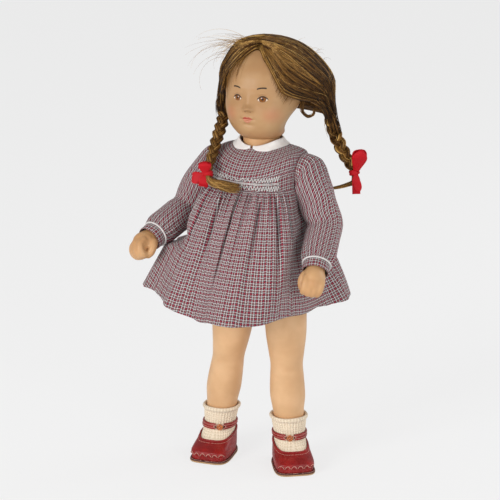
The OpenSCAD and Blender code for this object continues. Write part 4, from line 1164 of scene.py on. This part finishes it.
def bow_loop(a, b, across, width, gap):
    """Ribbon from the knot at a out to b and back: a teardrop of depth gap, narrow at the knot."""
    a, b, across = np.array([a, b, across])
    k = down_to(0, 1, 60)
    far = np.sin(np.pi * k)
    lift = unit(np.cross(unit(b - a), across))
    line = a + (b - a) * far ** 0.8 + lift * gap * np.sin(2 * np.pi * k) * (0.4 + 0.6 * far)
    return band_of(line, across, width * (0.4 + 1.5 * far - 1.55 * far ** 4)[:, 0], 0.5)


def ribbon_end(a, b, across, width, wave):
    """Loose end from the knot at a to b, waved along its length."""
    a, b, across = np.array([a, b, across])
    k = down_to(0, 1, 40)
    lift = unit(np.cross(unit(b - a), across))
    line = mix(a, b, k) + lift * wave * np.sin(2.2 * np.pi * k) * k
    return band_of(line, across, width * mix(0.5, 1.0, ease(k[:, 0] * 3)), 0.4)


bows = {  # form, from, to, direction across, width, and depth of the loop or wave of the end
    "left": [(bow_loop, [79.8, 38.6, 281.5], [88.0, 31.5, 304.0], [0.883, 0.469, 0.0], 12.5, 3.4),
             (bow_loop, [79.8, 38.8, 280.5], [83.6, 36.5, 263.5], [0.883, 0.469, 0.0], 6.6, 2.0),
             (ribbon_end, [80.0, 38.2, 280.5], [82.6, 34.0, 262.0], [0.883, 0.469, 0.1], 7.4, 1.0)],
    "right": [(bow_loop, [-29.0, -49.4, 285.6], [-28.6, -50.6, 297.0], [0.883, 0.469, 0.0], 10.5, 3.0),
              (bow_loop, [-30.0, -48.4, 284.8], [-43.0, -47.0, 278.5], [0.0, 0.3, 1.0], 10.0, 3.0),
              (ribbon_end, [-29.8, -49.0, 284.4], [-29.5, -52.5, 274.5], [0.8, 0.42, -0.2], 8.5, 1.0)]}
knot_rows = [[3.4, -2.6], [4.6, -2.2], [5.0, -1.0], [4.7, 0.0], [5.1, 1.2], [4.6, 2.2], [3.4, 2.6]]
knot_uv = grid_of(down_to(0, 0.01, 7), np.linspace(0, 0.03, 49))
for side, strips in bows.items():
    points, _, tie = braid_lines[side]
    line = route(points, 200)[0]
    near = np.argmin(np.linalg.norm(line - points[tie], axis=1))
    knot = turned(knot_rows, np.array(points[tie], float), unit(line[near + 1] - line[near - 1]), 48)
    pieces = [surface(side + "_ribbon_knot", knot, knot_uv)]
    bands = [form(*sizes) for form, *sizes in strips]
    for number, (grid, uv) in enumerate(bands):
        pieces.append(walled(surface(f"{side}_ribbon_{number}", grid, uv, around=False), 0.35))
    for strip in pieces:
        hung(strip, satin, side, "ribbon")


# Studio: a plain pale floor under soft lamps, seen a little from above and from the doll's left.
# The floor shows the camera an even near-white and keeps the doll's shadow.

pale = ink(246, 246, 246)
floor_mat, place = finish("studio_floor", {"Roughness": 0.9, "Base Color": pale})
tree = floor_mat.node_tree
lit = tree.nodes.new("ShaderNodeMixShader")
place.feed(lit.inputs[0], 0.8 * place.add("LightPath", out=0))
tree.links.new(tree.nodes["Principled BSDF"].outputs[0], lit.inputs[1])
place.feed(lit.inputs[2], place.add("Emission", sockets={"Color": pale}))
tree.links.new(lit.outputs[0], tree.nodes["Material Output"].inputs["Surface"])
wide = 6.0
mesh = bpy.data.meshes.new("studio_floor")
mesh.from_pydata([(-wide, -wide, 0), (wide, -wide, 0), (wide, wide, 0), (-wide, wide, 0)], [], [(0, 1, 2, 3)])
mesh.materials.append(floor_mat)
piece("studio_floor", mesh)

world = bpy.data.worlds.new("studio")
bpy.context.scene.world = world
world.use_nodes = True
sky = world.node_tree.nodes["Background"].inputs
sky["Color"].default_value = (1.0, 1.0, 1.0, 1.0)
rays = Dye(world.node_tree, world.node_tree.nodes.new("ShaderNodeLightPath").outputs["Is Camera Ray"])
rays.feed(sky["Strength"], 0.45 + 0.42 * rays)


def aimed(name, data, at, way):
    """Links a lamp or camera that looks in direction way."""
    made = bpy.data.objects.new(name, data)
    made.location = at
    made.rotation_euler = Vector(way).to_track_quat("-Z", "Y").to_euler()
    bpy.context.scene.collection.objects.link(made)
    return made


chest = Vector((0, 0, 0.22))
for name, at, size, watts in (("key", (-0.5, -1.7, 0.75), 0.8, 21), ("fill", (1.7, -1.0, 0.55), 1.0, 11),
                              ("back", (1.2, 1.3, 0.8), 1.0, 9)):
    box = bpy.data.lights.new(name, "AREA")
    box.shape, box.size, box.energy = "SQUARE", size, watts
    aimed(name, box, at, chest - Vector(at))

azimuth, elevation, far, lens = 28, 15, 1.832, 142.4
back = np.array([sind(azimuth) * cosd(elevation), -cosd(azimuth) * cosd(elevation), sind(elevation)])
target = placed([-8.35 * cosd(azimuth), -8.35 * sind(azimuth), 206.7])
eye = bpy.data.cameras.new("camera")
eye.lens, eye.sensor_width, eye.clip_end = lens, 36, 50
bpy.context.scene.camera = aimed("camera", eye, target + far * back, -back)
bpy.context.scene.view_settings.view_transform = "Standard"
